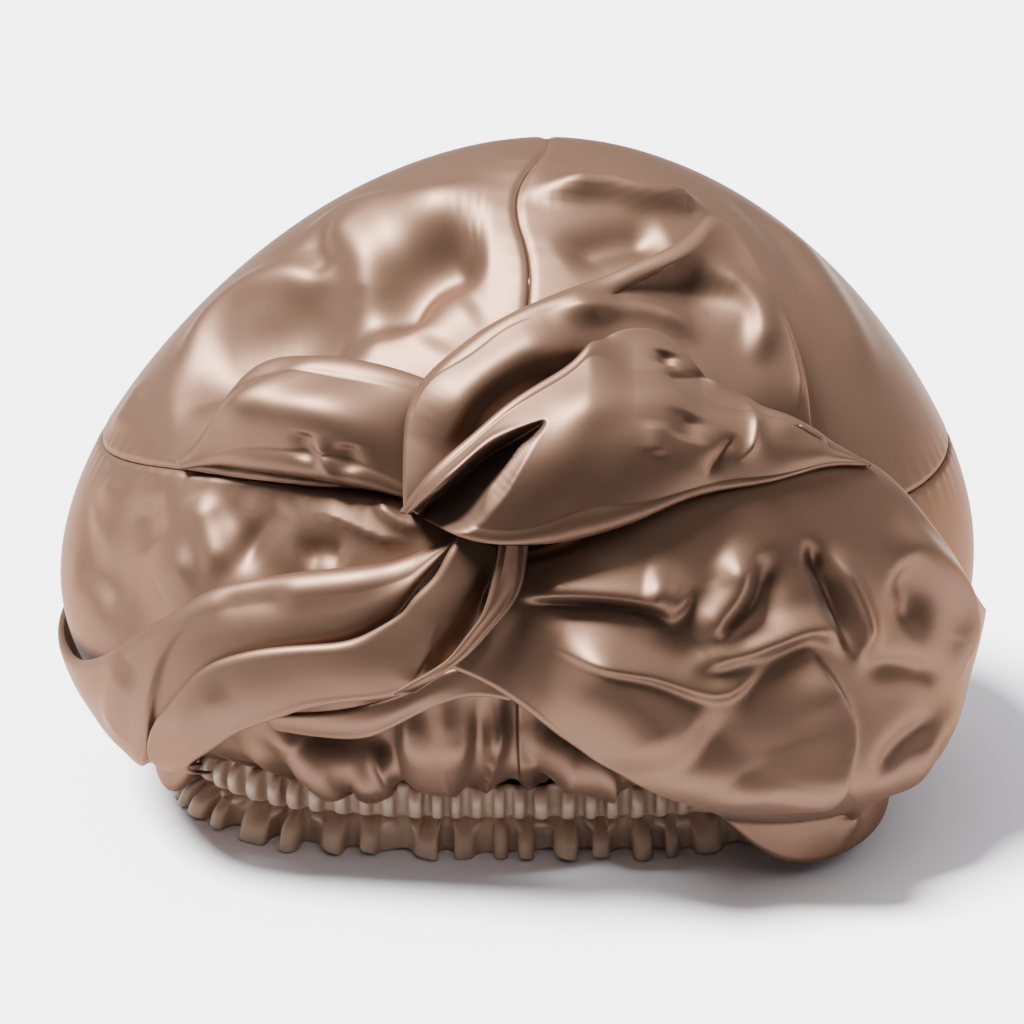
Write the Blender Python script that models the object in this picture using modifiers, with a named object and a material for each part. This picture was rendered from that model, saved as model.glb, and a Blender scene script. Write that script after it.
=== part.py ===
"""A satin sleep bonnet, standing on its gathered elastic edge with its twisted wrap to the front.

The cap is a hollow dome of two crown halves over two side panels, drawn in to an elastic
hem. The wraps at the front lie over it in layers. Every place on the bonnet is given by its
turn round the head in degrees (0 at the front, 90 on the right), its rise from the elastic (0)
to the top of the crown (1), and its lift outwards from the plain dome.
"""

import math

import bmesh
import bpy
import numpy as np
from mathutils import Matrix

# Driving sizes, in metres
HALF_WIDTH = 0.150
HALF_DEPTH = 0.116
HEIGHT = 0.211
CASING_HEIGHT = 0.0115
FRILL_HEIGHT = 0.0100
CLOTH = 0.0014
FRILL_CLOTH = 0.0018
GAP = 0.0004
FOLD = 0.010
CASING_PUFF = 0.0025
FRILL_FLARE = 0.006

HEM_HEIGHT = CASING_HEIGHT + FRILL_HEIGHT

# Counts
PLEATS = 24
COLUMNS_PER_PLEAT = 4
PANEL_COLUMNS = 32
PANEL_ROWS = 8
CROWN_COLUMNS = 20
CROWN_ROWS = 11

# The floor lies this far below the elastic seam in rise
FLOOR_RISE = -0.12
# Steps to either side at which the dome's slope is read, in degrees and in rise
TURN_STEP = 1.0
RISE_STEP = 0.004
# Points nearer than this are one point
WELD = 0.00002

# The waves of the gathers above the elastic: their height in folds, and the rise where they end
GATHER_WAVE = 0.25
GATHER_RISE = 0.25
# The cap's own folds fade out this far below the top, in rise
TOP_FADE = 0.04

# How far a rolled edge turns under, its share of a section's rows, how wide it is for its depth,
# and the largest share of a section's width that it takes
ROLL_UNDER = math.radians(45)
ROLL_SHARE = 0.25
ROLL_WIDTH = 0.7
WIDEST_ROLL = 0.35

SATIN = (0.33, 0.20, 0.14, 1.0)
SATIN_ROUGHNESS = 0.38
SATIN_METALLIC = 0.2

# The plain dome, level by level. Heights are shares of the cap above the hem, wide, front and
# back are shares of the half width and the half depth, and lean is a shift to the right.
LEVELS = [
    # rise, height, wide, front, back, lean, square
    (0.00, 0.000, 0.700, 0.600, 0.710, 0.000, 3.00),
    (0.08, 0.040, 0.820, 0.730, 0.830, 0.000, 2.80),
    (0.20, 0.115, 0.950, 0.930, 0.960, 0.000, 2.40),
    (0.33, 0.230, 1.000, 1.000, 1.000, 0.000, 2.20),
    (0.44, 0.350, 0.985, 0.990, 0.980, 0.005, 2.15),
    (0.56, 0.500, 0.910, 0.935, 0.900, 0.015, 2.15),
    (0.68, 0.660, 0.770, 0.810, 0.780, 0.030, 2.15),
    (0.80, 0.820, 0.565, 0.640, 0.580, 0.045, 2.15),
    (0.90, 0.940, 0.320, 0.380, 0.310, 0.055, 2.15),
    (1.00, 1.000, 0.000, 0.000, 0.000, 0.060, 2.15),
    (1.10, 0.940, -0.320, -0.380, -0.310, 0.055, 2.15),
]

# The seam between the crown and the side panels
CROWN_SEAM = [
    # turn, rise
    (-180, 0.550),
    (-110, 0.550),
    (-75, 0.565),
    (-50, 0.597),
    (-20, 0.610),
    (10, 0.600),
    (50, 0.557),
    (75, 0.557),
    (110, 0.550),
    (180, 0.550),
]

# The seam between the crown halves, on the front of the cap
TOP_SEAM = [
    # rise, turn
    (0.50, -2),
    (0.70, -2),
    (0.81, -3),
    (0.87, -6),
    (0.92, -12),
    (0.96, -6),
    (1.00, 0),
]

# Dents and folds of the cap. Widths and heights are in folds.
CAP_FOLDS = [
    # from_turn, from_rise, to_turn, to_rise, width, height
    (-50, 0.80, -26, 0.82, 2.0, -0.6),
    (-66, 0.72, -54, 0.76, 1.5, -0.4),
    (-38, 0.90, -15, 0.94, 1.6, 0.3),
    (-12, 0.925, 12, 0.91, 0.8, 0.4),
    (12, 0.91, 30, 0.892, 0.8, 0.5),
    (30, 0.892, 46, 0.872, 0.8, 0.6),
    (2, 0.862, 36, 0.856, 1.1, -0.5),
    (-62, 0.50, -52, 0.42, 1.6, -0.5),
    (-40, 0.56, -30, 0.50, 1.2, -0.4),
    (-40, 0.20, -22, 0.27, 2.0, -1.3),
    (-22, 0.27, 6, 0.29, 2.4, -1.5),
    (6, 0.29, 26, 0.18, 2.2, -1.3),
    (-33, 0.06, -30, 0.12, 0.8, 0.7),
    (-22, 0.06, -21, 0.16, 0.9, 0.8),
    (-8, 0.06, -8, 0.22, 1.0, 1.2),
    (3, 0.05, 5, 0.13, 0.8, 0.8),
    (14, 0.04, 17, 0.12, 1.0, 0.9),
    (62, 0.33, 95, 0.22, 3.0, -0.25),
    (-66, 0.22, -98, 0.20, 2.2, -0.20),
]

# Every wrap is lofted through sections. Each runs from edge a to edge b, is lifted off the dome
# beside each edge, and turns down there to the lift of its seat. A puff is what the middle
# stands up by besides. All of them are in folds.
CROWN_LOBE = [
    # turn_a, rise_a, lift_a, seat_a, turn_b, rise_b, lift_b, seat_b, puff
    (-52, 0.602, 0.35, 0.10, -50, 0.596, 0.35, 0.10, 0.00),
    (-49, 0.640, 0.65, 0.10, -45, 0.608, 0.35, 0.10, 0.20),
    (-47, 0.700, 0.95, 0.10, -39, 0.612, 0.35, 0.10, 0.50),
    (-39, 0.730, 1.10, 0.10, -30, 0.614, 0.35, 0.10, 0.60),
    (-30, 0.736, 1.10, 0.10, -23, 0.612, 0.35, 0.10, 0.50),
    (-22, 0.732, 0.95, 0.10, -18, 0.608, 0.35, 0.10, 0.30),
    (-16, 0.724, 0.65, 0.10, -13, 0.600, 0.35, 0.10, 0.05),
]

ARCH_FOLD = [
    # turn_a, rise_a, lift_a, seat_a, turn_b, rise_b, lift_b, seat_b, puff
    (-15, 0.595, 1.40, 1.20, -13, 0.586, 1.30, 1.10, 0.00),
    (-16, 0.630, 1.50, 1.12, -11, 0.611, 1.35, 1.15, 0.05),
    (-17, 0.670, 1.50, 1.12, -8, 0.645, 1.30, 1.10, 0.15),
    (-17, 0.712, 1.40, 1.00, -5, 0.668, 1.20, 1.00, 0.25),
    (-14, 0.751, 1.25, 0.25, -1, 0.695, 1.10, 0.85, 0.25),
    (-9, 0.778, 1.15, 0.20, 4, 0.722, 1.00, 0.70, 0.25),
    (0, 0.803, 1.15, 0.12, 10, 0.735, 0.90, 0.60, 0.20),
    (10, 0.820, 1.15, 0.12, 15, 0.735, 0.80, 0.50, 0.00),
    (23, 0.836, 1.15, 0.25, 20, 0.730, 0.75, 0.45, -0.25),
    (37, 0.852, 1.10, 0.35, 24, 0.715, 0.70, 0.40, -0.35),
    (48, 0.860, 1.00, 0.35, 28, 0.700, 0.65, 0.35, -0.20),
    (48, 0.820, 0.95, 0.20, 31, 0.685, 0.65, 0.35, 0.00),
    (46, 0.771, 0.90, 0.08, 34, 0.670, 0.60, 0.30, 0.15),
    (44, 0.717, 0.80, 0.08, 37, 0.655, 0.55, 0.30, 0.20),
    (41, 0.663, 0.65, 0.15, 39, 0.640, 0.50, 0.25, 0.10),
]

TWIST_BAND = [
    # turn_a, rise_a, lift_a, seat_a, turn_b, rise_b, lift_b, seat_b, puff
    (-14, 0.603, 1.80, 1.45, -13, 0.593, 1.80, 1.45, 0.00),
    (-12, 0.616, 2.25, 1.80, -11, 0.602, 2.25, 1.95, 0.05),
    (-9, 0.653, 2.35, 1.85, -7, 0.636, 2.45, 2.15, 0.10),
    (-6, 0.677, 2.30, 1.80, -4, 0.656, 2.55, 2.25, 0.10),
    (-2, 0.701, 2.15, 1.70, -1, 0.668, 2.55, 2.25, 0.10),
    (1, 0.712, 2.00, 1.60, 1, 0.672, 2.45, 2.10, 0.10),
]

TWIST_PUFF = [
    # turn_a, rise_a, lift_a, seat_a, turn_b, rise_b, lift_b, seat_b, puff
    (2, 0.668, 2.60, 2.30, -10, 0.577, 2.30, 2.00, 0.50),
    (4, 0.705, 2.30, 1.70, -7, 0.566, 2.60, 2.05, 0.60),
    (6, 0.748, 1.90, 1.20, -4, 0.561, 2.60, 2.10, 0.75),
    (11, 0.766, 1.70, 1.18, 1, 0.560, 2.45, 1.45, 0.80),
    (17, 0.758, 1.60, 1.15, 5, 0.564, 2.35, 1.15, 0.80),
    (22, 0.732, 1.55, 1.06, 11, 0.576, 2.20, 1.30, 0.75),
    (28, 0.707, 1.50, 1.06, 16, 0.592, 2.00, 1.35, 0.60),
    (34, 0.689, 1.45, 0.90, 22, 0.604, 1.80, 1.35, 0.50),
    (40, 0.660, 1.35, 0.85, 29, 0.606, 1.65, 1.35, 0.35),
    (44, 0.628, 1.30, 0.80, 37, 0.606, 1.50, 1.30, 0.15),
    (48, 0.602, 1.30, 1.00, 46, 0.597, 1.40, 1.20, 0.00),
]

FLAP_RIGHT = [
    # turn_a, rise_a, lift_a, seat_a, turn_b, rise_b, lift_b, seat_b, puff
    (-3, 0.545, 0.80, 0.12, -8, 0.415, 0.80, 0.50, 0.00),
    (1, 0.555, 0.85, 0.12, -4, 0.395, 0.85, 0.50, 0.05),
    (6, 0.570, 0.90, 0.12, 1, 0.355, 1.00, 0.55, 0.20),
    (12, 0.584, 0.95, 0.12, 7, 0.295, 1.20, 0.90, 0.35),
    (20, 0.592, 1.00, 0.12, 14, 0.205, 1.50, 1.12, 0.40),
    (27, 0.596, 1.05, 0.12, 23, 0.095, 2.40, 2.10, 0.35),
    (34, 0.598, 1.10, 0.12, 31, -0.020, 3.20, 2.90, 0.25),
    (41, 0.598, 1.15, 0.12, 37, -0.080, 3.80, 3.40, 0.20),
    (48, 0.590, 1.15, 0.12, 46, -0.085, 3.70, 3.20, 0.15),
    (54, 0.540, 0.95, 0.12, 58, -0.080, 2.50, 1.90, 0.10),
    (60, 0.460, 0.70, 0.12, 70, -0.060, 1.80, 1.20, 0.00),
    (68, 0.380, 0.45, 0.18, 82, -0.040, 1.35, 0.80, 0.00),
    (78, 0.320, 0.38, 0.18, 94, -0.020, 1.00, 0.50, 0.00),
    (90, 0.280, 0.38, 0.18, 106, 0.010, 0.80, 0.40, 0.00),
]

LAPEL_LEFT = [
    # turn_a, rise_a, lift_a, seat_a, turn_b, rise_b, lift_b, seat_b, puff
    (-8, 0.570, 1.00, 0.15, -9, 0.552, 1.00, 0.20, 0.00),
    (-11, 0.558, 1.00, 0.15, -11, 0.514, 1.00, 0.20, 0.05),
    (-14, 0.544, 1.00, 0.15, -14, 0.462, 0.95, 0.20, 0.10),
    (-18, 0.532, 1.05, 0.15, -18, 0.412, 0.80, 0.20, 0.15),
    (-23, 0.523, 1.05, 0.15, -22, 0.378, 0.75, 0.20, 0.15),
    (-29, 0.509, 1.05, 0.15, -27, 0.348, 0.75, 0.20, 0.15),
    (-34, 0.493, 1.05, 0.15, -32, 0.318, 0.75, 0.20, 0.15),
    (-38, 0.472, 1.05, 0.15, -36, 0.285, 0.80, 0.20, 0.15),
    (-42, 0.438, 1.00, 0.15, -39, 0.245, 0.90, 0.40, 0.15),
    (-46, 0.404, 0.95, 0.15, -42, 0.185, 1.05, 0.60, 0.20),
    (-50, 0.367, 0.90, 0.15, -45, 0.120, 1.25, 0.80, 0.20),
    (-56, 0.324, 0.75, 0.15, -52, 0.000, 1.50, 1.00, 0.15),
    (-64, 0.290, 0.55, 0.12, -62, -0.090, 1.60, 1.00, 0.10),
    (-75, 0.275, 0.35, 0.10, -75, -0.075, 1.45, 0.90, 0.00),
    (-88, 0.270, 0.30, 0.10, -90, -0.045, 1.00, 0.50, 0.00),
    (-102, 0.265, 0.30, 0.10, -105, 0.010, 0.70, 0.40, 0.00),
]

STRAP_BROAD = [
    # turn_a, rise_a, lift_a, seat_a, turn_b, rise_b, lift_b, seat_b, puff
    (-8, 0.568, 1.55, 1.25, -3, 0.560, 1.40, 1.10, 0.00),
    (-9, 0.550, 1.60, 1.30, -3, 0.532, 1.30, 1.05, 0.00),
    (-10, 0.529, 1.60, 1.30, -4, 0.505, 1.25, 1.05, 0.10),
    (-12, 0.505, 1.60, 1.30, -5, 0.471, 1.25, 1.05, 0.15),
    (-13, 0.489, 1.55, 1.30, -7, 0.442, 1.25, 1.05, 0.15),
    (-15, 0.472, 1.50, 1.25, -9, 0.412, 1.25, 1.05, 0.10),
    (-18, 0.452, 1.50, 1.12, -12, 0.382, 1.20, 0.80, 0.05),
    (-22, 0.440, 1.50, 1.12, -17, 0.365, 1.15, 0.75, 0.05),
    (-27, 0.428, 1.50, 1.12, -23, 0.345, 1.15, 0.75, 0.05),
    (-31, 0.412, 1.50, 1.12, -28, 0.313, 1.15, 0.75, 0.10),
    (-35, 0.384, 1.50, 1.12, -32, 0.279, 1.15, 0.75, 0.10),
    (-38, 0.342, 1.50, 1.12, -35, 0.240, 1.20, 0.80, 0.10),
    (-41, 0.290, 1.50, 1.12, -38, 0.200, 1.30, 1.05, 0.05),
    (-43, 0.230, 1.55, 1.30, -40, 0.160, 1.35, 1.10, 0.05),
    (-45, 0.130, 1.60, 1.30, -42, 0.100, 1.35, 1.10, 0.00),
    (-48, 0.050, 1.50, 1.25, -45, 0.040, 1.25, 1.00, 0.00),
]

STRAP_NARROW = [
    # turn_a, rise_a, lift_a, seat_a, turn_b, rise_b, lift_b, seat_b, puff
    (-3.2, 0.562, 1.90, 1.60, 0.2, 0.561, 1.55, 1.15, 0.00),
    (-3.4, 0.542, 1.90, 1.60, 0.1, 0.541, 1.50, 1.15, 0.00),
    (-3.8, 0.519, 1.85, 1.60, -0.4, 0.515, 1.45, 1.15, 0.05),
    (-4.5, 0.492, 1.80, 1.60, -1.8, 0.490, 1.45, 1.15, 0.05),
    (-6.0, 0.466, 1.75, 1.60, -3.5, 0.468, 1.45, 1.15, 0.05),
    (-7.8, 0.438, 1.75, 1.60, -5.3, 0.444, 1.45, 1.15, 0.05),
    (-10.5, 0.413, 1.70, 1.60, -8.1, 0.415, 1.45, 1.25, 0.00),
    (-13.2, 0.390, 1.65, 1.60, -11.0, 0.391, 1.60, 1.50, 0.00),
]

INNER_FOLD = [
    # turn_a, rise_a, lift_a, seat_a, turn_b, rise_b, lift_b, seat_b, puff
    (-23, 0.285, 0.20, -0.05, -22, 0.230, 0.00, -0.25, 0.00),
    (-17, 0.345, 0.30, 0.05, -17, 0.282, 0.10, -0.15, 0.10),
    (-12, 0.375, 0.35, 0.10, -13, 0.317, 0.20, -0.05, 0.10),
    (-9, 0.400, 0.35, 0.10, -9, 0.350, 0.30, 0.05, 0.05),
    (-5, 0.412, 0.38, 0.13, -5, 0.366, 0.33, 0.08, 0.00),
    (-1, 0.402, 0.42, 0.20, -1, 0.362, 0.42, 0.20, 0.00),
]

# The elastic hem's section, from the seam above down to the floor. Its heights are shares of the
# casing's and the frill's, and its outs are shares of the casing's puff and the frill's flare.
HEM_SECTION = [
    # casing_height, frill_height, casing_out, frill_out, gather
    (1.0, 1.0, 0.3, 0.0, 0.2),
    (0.6, 1.0, 1.0, 0.0, 0.6),
    (0.0, 1.0, 0.2, 0.0, 0.2),
    (0.0, 0.5, 0.0, 0.7, 0.7),
    (0.0, 0.0, 0.0, 1.0, 1.0),
]


def spline(knots, values, at):
    """Natural cubic curve through the values at the knots, read at each place."""
    knots = np.asarray(knots, float)
    values = np.asarray(values, float)
    count = len(knots)
    gap = np.diff(knots)
    slope = np.diff(values, axis=0) / gap[:, None]
    matrix = np.eye(count)
    right = np.zeros_like(values)
    for i in range(1, count - 1):
        matrix[i, i - 1 : i + 2] = gap[i - 1], 2 * (gap[i - 1] + gap[i]), gap[i]
        right[i] = 6 * (slope[i] - slope[i - 1])
    bend = np.linalg.solve(matrix, right)
    at = np.asarray(at, float)
    k = np.clip(np.searchsorted(knots, at) - 1, 0, count - 2)
    span = gap[k]
    a = ((knots[k + 1] - at) / span)[..., None]
    b = ((at - knots[k]) / span)[..., None]
    curve = (a**3 - a) * bend[k] + (b**3 - b) * bend[k + 1]
    return a * values[k] + b * values[k + 1] + curve * (span * span / 6)[..., None]


def read_table(table, at):
    """A two-column table read at each place, with a smooth curve between its rows."""
    table = np.array(table, float)
    return spline(table[:, 0], table[:, 1:], at)[..., 0]


def dome(turn, rise):
    """The point of the plain dome at a turn and a rise."""
    turn, rise = np.broadcast_arrays(np.asarray(turn, float), np.asarray(rise, float))
    levels = np.array(LEVELS)
    rows = spline(levels[:, 0], levels[:, 1:], np.maximum(rise, 0))
    height, wide, front, back, lean, square = np.moveaxis(rows, -1, 0)
    side = np.sin(np.radians(turn))
    ahead = np.cos(np.radians(turn))
    round_out = (np.abs(side) ** square + np.abs(ahead) ** square) ** (-1 / square)
    deep = np.where(ahead > 0, front, back)
    below = HEM_HEIGHT * np.minimum(rise, 0) / -FLOOR_RISE
    x = HALF_WIDTH * (wide * side * round_out + lean)
    y = -HALF_DEPTH * deep * ahead * round_out
    z = HEM_HEIGHT + (HEIGHT - HEM_HEIGHT) * height + below
    return np.stack([x, y, z], -1)


def outward(turn, rise):
    """Away from the dome, and never downwards."""
    along = dome(turn + TURN_STEP, rise) - dome(turn - TURN_STEP, rise)
    low = np.clip(rise - RISE_STEP, FLOOR_RISE, 1)
    high = np.clip(rise + RISE_STEP, FLOOR_RISE, 1)
    away = np.cross(along, dome(turn, high) - dome(turn, low))
    away[..., 2] = np.maximum(away[..., 2], 0)
    length = np.linalg.norm(away, axis=-1, keepdims=True)
    return np.where(length > 1e-12, away / np.maximum(length, 1e-12), np.array([0, 0, 1.0]))


def lifted(turn, rise, lift):
    """The point that stands off the dome by a lift in metres."""
    return dome(turn, rise) + outward(turn, rise) * np.asarray(lift)[..., None]


def cap_lift(turn, rise):
    """The lift of the cap's own dents and folds, each along its line."""
    points = dome(turn, rise)
    total = np.zeros(points.shape[:-1])
    for from_turn, from_rise, to_turn, to_rise, width, height in CAP_FOLDS:
        start = dome(from_turn, from_rise)
        line = dome(to_turn, to_rise) - start
        share = np.clip(((points - start) @ line) / (line @ line), 0, 1)
        away = np.linalg.norm(points - start - share[..., None] * line, axis=-1)
        total += height * FOLD * np.exp(-((away / (width * FOLD)) ** 2))
    return total


def gather_lift(turn, rise):
    """The fine waves where the side panels are drawn in to the elastic."""
    fade = np.clip(1 - rise / GATHER_RISE, 0, 1) ** 2
    return GATHER_WAVE * FOLD * fade * np.sin(np.radians(turn) * PLEATS)


def grid_coordinates(mesh):
    """The shares along and across of every vertex of a new grid."""
    flat = np.empty(len(mesh.vertices) * 3)
    mesh.vertices.foreach_get("co", flat)
    flat = flat.reshape(-1, 3)
    return (flat[:, 0] + 1) / 2, (flat[:, 1] + 1) / 2


def new_grid(name, along, across, place):
    """A grid of faces whose vertices go where the place function says, facing outwards."""
    work = bmesh.new()
    bmesh.ops.create_grid(work, x_segments=along, y_segments=across, size=1)
    mesh = bpy.data.meshes.new(name)
    work.to_mesh(mesh)
    work.free()
    points = place(*grid_coordinates(mesh))
    mesh.vertices.foreach_set("co", points.ravel())
    mesh.update()
    middle = np.array([0, 0, HEIGHT / 2])
    faces = [(np.array(face.center) - middle) @ np.array(face.normal) for face in mesh.polygons]
    work = bmesh.new()
    work.from_mesh(mesh)
    if sum(faces) < 0:
        bmesh.ops.reverse_faces(work, faces=work.faces)
    bmesh.ops.remove_doubles(work, verts=work.verts, dist=WELD)
    work.to_mesh(mesh)
    work.free()
    return mesh


def satin(name):
    """The plain satin of one piece."""
    material = bpy.data.materials.new(name + "_satin")
    material.use_nodes = True
    shader = material.node_tree.nodes["Principled BSDF"]
    shader.inputs["Base Color"].default_value = SATIN
    shader.inputs["Roughness"].default_value = SATIN_ROUGHNESS
    shader.inputs["Metallic"].default_value = SATIN_METALLIC
    return material


def add_piece(name, mesh, thickness):
    """One named cloth piece in the bonnet's collection, with its wall inside its face."""
    piece = bpy.data.objects.new(name, mesh)
    bpy.data.collections["sleep_bonnet"].objects.link(piece)
    piece.data.materials.append(satin(name))
    piece.data.shade_smooth()
    if thickness:
        wall = piece.modifiers.new("cloth", "SOLIDIFY")
        wall.thickness = thickness
        wall.offset = -1
        wall.use_even_offset = True
    return piece


def rolled_edge(v, depth, span):
    """How far in from its edge, as a share of the section, and how far down a rolled edge is."""
    bend = -ROLL_UNDER + (math.pi / 2 + ROLL_UNDER) * np.clip(v / ROLL_SHARE, 0, 1)
    reach = np.minimum(ROLL_WIDTH * depth * FOLD / span, WIDEST_ROLL)
    down = depth * (1 - np.sin(bend)) / (1 + math.sin(ROLL_UNDER))
    return reach * (1 - np.cos(bend)), down


def section_place(rows, hang):
    """The place function of a wrap that is lofted through its sections.

    Between its edges the lift changes within the two shares of hang, which is late and sudden
    on a wrap that falls to the floor.
    """
    rows = np.array(rows, float)
    middles = dome((rows[:, 0] + rows[:, 4]) / 2, (rows[:, 1] + rows[:, 5]) / 2)
    steps = np.linalg.norm(np.diff(middles, axis=0), axis=1)
    knots = np.concatenate([[0], np.cumsum(steps)]) / steps.sum()

    def place(u, v):
        row = np.moveaxis(spline(knots, rows, u), -1, 0)
        turn_a, rise_a, lift_a, seat_a, turn_b, rise_b, lift_b, seat_b, puff = row
        span = np.linalg.norm(dome(turn_a, rise_a) - dome(turn_b, rise_b), axis=-1)
        middle = np.clip((v - ROLL_SHARE) / (1 - 2 * ROLL_SHARE), 0, 1)
        inset_a, down_a = rolled_edge(v, lift_a - seat_a, span)
        inset_b, down_b = rolled_edge(1 - v, lift_b - seat_b, span)
        flat_a = rolled_edge(ROLL_SHARE, lift_a - seat_a, span)[0]
        flat_b = rolled_edge(ROLL_SHARE, lift_b - seat_b, span)[0]
        share = flat_a + (1 - flat_b - flat_a) * middle
        share = np.where(v < ROLL_SHARE, inset_a, share)
        share = np.where(v > 1 - ROLL_SHARE, 1 - inset_b, share)
        low, high = hang
        fall = np.clip((middle - low) / (high - low), 0, 1)
        if low > 0:
            fall = fall * fall * (3 - 2 * fall)
        lift = lift_a + (lift_b - lift_a) * fall + puff * np.sin(math.pi * middle)
        turn = turn_a + (turn_b - turn_a) * share
        rise = rise_a + (rise_b - rise_a) * share
        return lifted(turn, rise, FOLD * (lift - down_a - down_b))

    return place


def wrap(name, rows, along, across, hang=(0, 1)):
    """One wrap of the front, lofted through its sections."""
    return add_piece(name, new_grid(name, along, across, section_place(rows, hang)), CLOTH)


def crown_half(name, side):
    """Half the crown, from the seam over the side panels to the top. The side is -1 or 1."""

    def place(u, v):
        seam = read_table(CROWN_SEAM, side * 180 * u) + seam_step()
        rise = seam + (1 - seam) * v
        front = read_table(TOP_SEAM, rise)
        turn = front + (side * 180 - front) * u
        rise = np.where(v == 0, read_table(CROWN_SEAM, turn) + seam_step(), rise)
        fade = np.clip((1 - rise) / TOP_FADE, 0, 1)
        points = lifted(turn, rise, cap_lift(turn, rise) * fade)
        points[..., 0] += side * GAP / 2
        return points

    mesh = new_grid(name, CROWN_COLUMNS, CROWN_ROWS, place)
    return add_piece(name, mesh, CLOTH)


def seam_step():
    """Half the gap at a seam, as a share of the rise."""
    return GAP / HEIGHT


def side_panel(name, side):
    """The side panel below the crown, drawn in to the elastic. The side is -1 or 1."""

    def place(u, v):
        turn = side * 180 * u
        top = read_table(CROWN_SEAM, turn) - seam_step()
        low = seam_step()
        rise = low + (top - low) * v
        points = lifted(turn, rise, cap_lift(turn, rise) + gather_lift(turn, rise))
        points[..., 0] += side * GAP / 2
        return points

    mesh = new_grid(name, PANEL_COLUMNS, PANEL_ROWS, place)
    return add_piece(name, mesh, CLOTH)


def elastic_hem():
    """The elastic's casing and the frill below it, as one gathered ring."""
    section = np.array(HEM_SECTION)
    rows = len(section)
    around = PLEATS * COLUMNS_PER_PLEAT
    bpy.ops.mesh.primitive_torus_add(
        major_segments=around, minor_segments=2 * rows, major_radius=1, minor_radius=0.5
    )
    hem = bpy.context.object
    hem.name = "elastic_hem"
    hem.data.name = "elastic_hem"
    flat = np.empty(len(hem.data.vertices) * 3)
    hem.data.vertices.foreach_get("co", flat)
    flat = flat.reshape(-1, 3)
    turn = np.degrees(np.arctan2(flat[:, 0], -flat[:, 1]))
    ring_angle = np.arctan2(flat[:, 2], np.hypot(flat[:, 0], flat[:, 1]) - 1)
    place_round = np.round((math.pi / 2 - ring_angle) / (2 * math.pi) * 2 * rows - 0.5)
    step = place_round.astype(int) % (2 * rows)
    outer = step < rows
    row = np.where(outer, step, 2 * rows - 1 - step)
    casing, frill, casing_out, frill_out, gather = np.moveaxis(section[row], -1, 0)
    wave = np.sin(np.radians(turn) * PLEATS)
    out = casing_out * CASING_PUFF + frill_out * FRILL_FLARE
    out = out + gather * wave * (CASING_PUFF + frill_out * FRILL_FLARE) / 2
    out = out - np.where(outer, 0, FRILL_CLOTH)
    points = lifted(turn, np.zeros_like(turn), out)
    points[:, 2] = casing * (CASING_HEIGHT - GAP) + frill * FRILL_HEIGHT
    hem.data.vertices.foreach_set("co", points.ravel())
    hem.data.update()
    for collection in list(hem.users_collection):
        collection.objects.unlink(hem)
    bpy.data.collections["sleep_bonnet"].objects.link(hem)
    hem.data.materials.clear()
    hem.data.materials.append(satin("elastic_hem"))
    hem.data.shade_smooth()
    return hem


def centre_pieces(pieces):
    """Moves the whole bonnet so that its box stands centred over the origin."""
    graph = bpy.context.evaluated_depsgraph_get()
    corners = [corner[:] for piece in pieces for corner in piece.evaluated_get(graph).bound_box]
    middle = (np.min(corners, axis=0) + np.max(corners, axis=0)) / 2
    for piece in pieces:
        piece.data.transform(Matrix.Translation((-middle[0], -middle[1], 0)))


def main():
    for item in list(bpy.data.objects):
        bpy.data.objects.remove(item)
    bpy.context.scene.collection.children.link(bpy.data.collections.new("sleep_bonnet"))
    pieces = [
        crown_half("crown_left", -1),
        crown_half("crown_right", 1),
        side_panel("side_left", -1),
        side_panel("side_right", 1),
        elastic_hem(),
        wrap("crown_lobe", CROWN_LOBE, 12, 8),
        wrap("arch_fold", ARCH_FOLD, 20, 8),
        wrap("twist_band", TWIST_BAND, 8, 6),
        wrap("twist_puff", TWIST_PUFF, 16, 9),
        wrap("flap_right", FLAP_RIGHT, 20, 11, hang=(0.35, 0.95)),
        wrap("lapel_left", LAPEL_LEFT, 22, 8, hang=(0.2, 0.95)),
        wrap("strap_broad", STRAP_BROAD, 20, 7),
        wrap("strap_narrow", STRAP_NARROW, 10, 6),
        wrap("inner_fold", INNER_FOLD, 8, 4),
    ]
    centre_pieces(pieces)


if __name__ == "__main__":
    main()
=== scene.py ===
"""A satin sleep bonnet, standing on its gathered elastic edge with its twisted wrap to the front.

Every place on the bonnet is given by its turn round the head in degrees (0 at the front, 90 on
the right), its rise from the elastic (0) to the top of the crown (1), and its lift outwards
from the plain dome. A fold that shows in the photo is a path of photo places.
"""

import math

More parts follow.
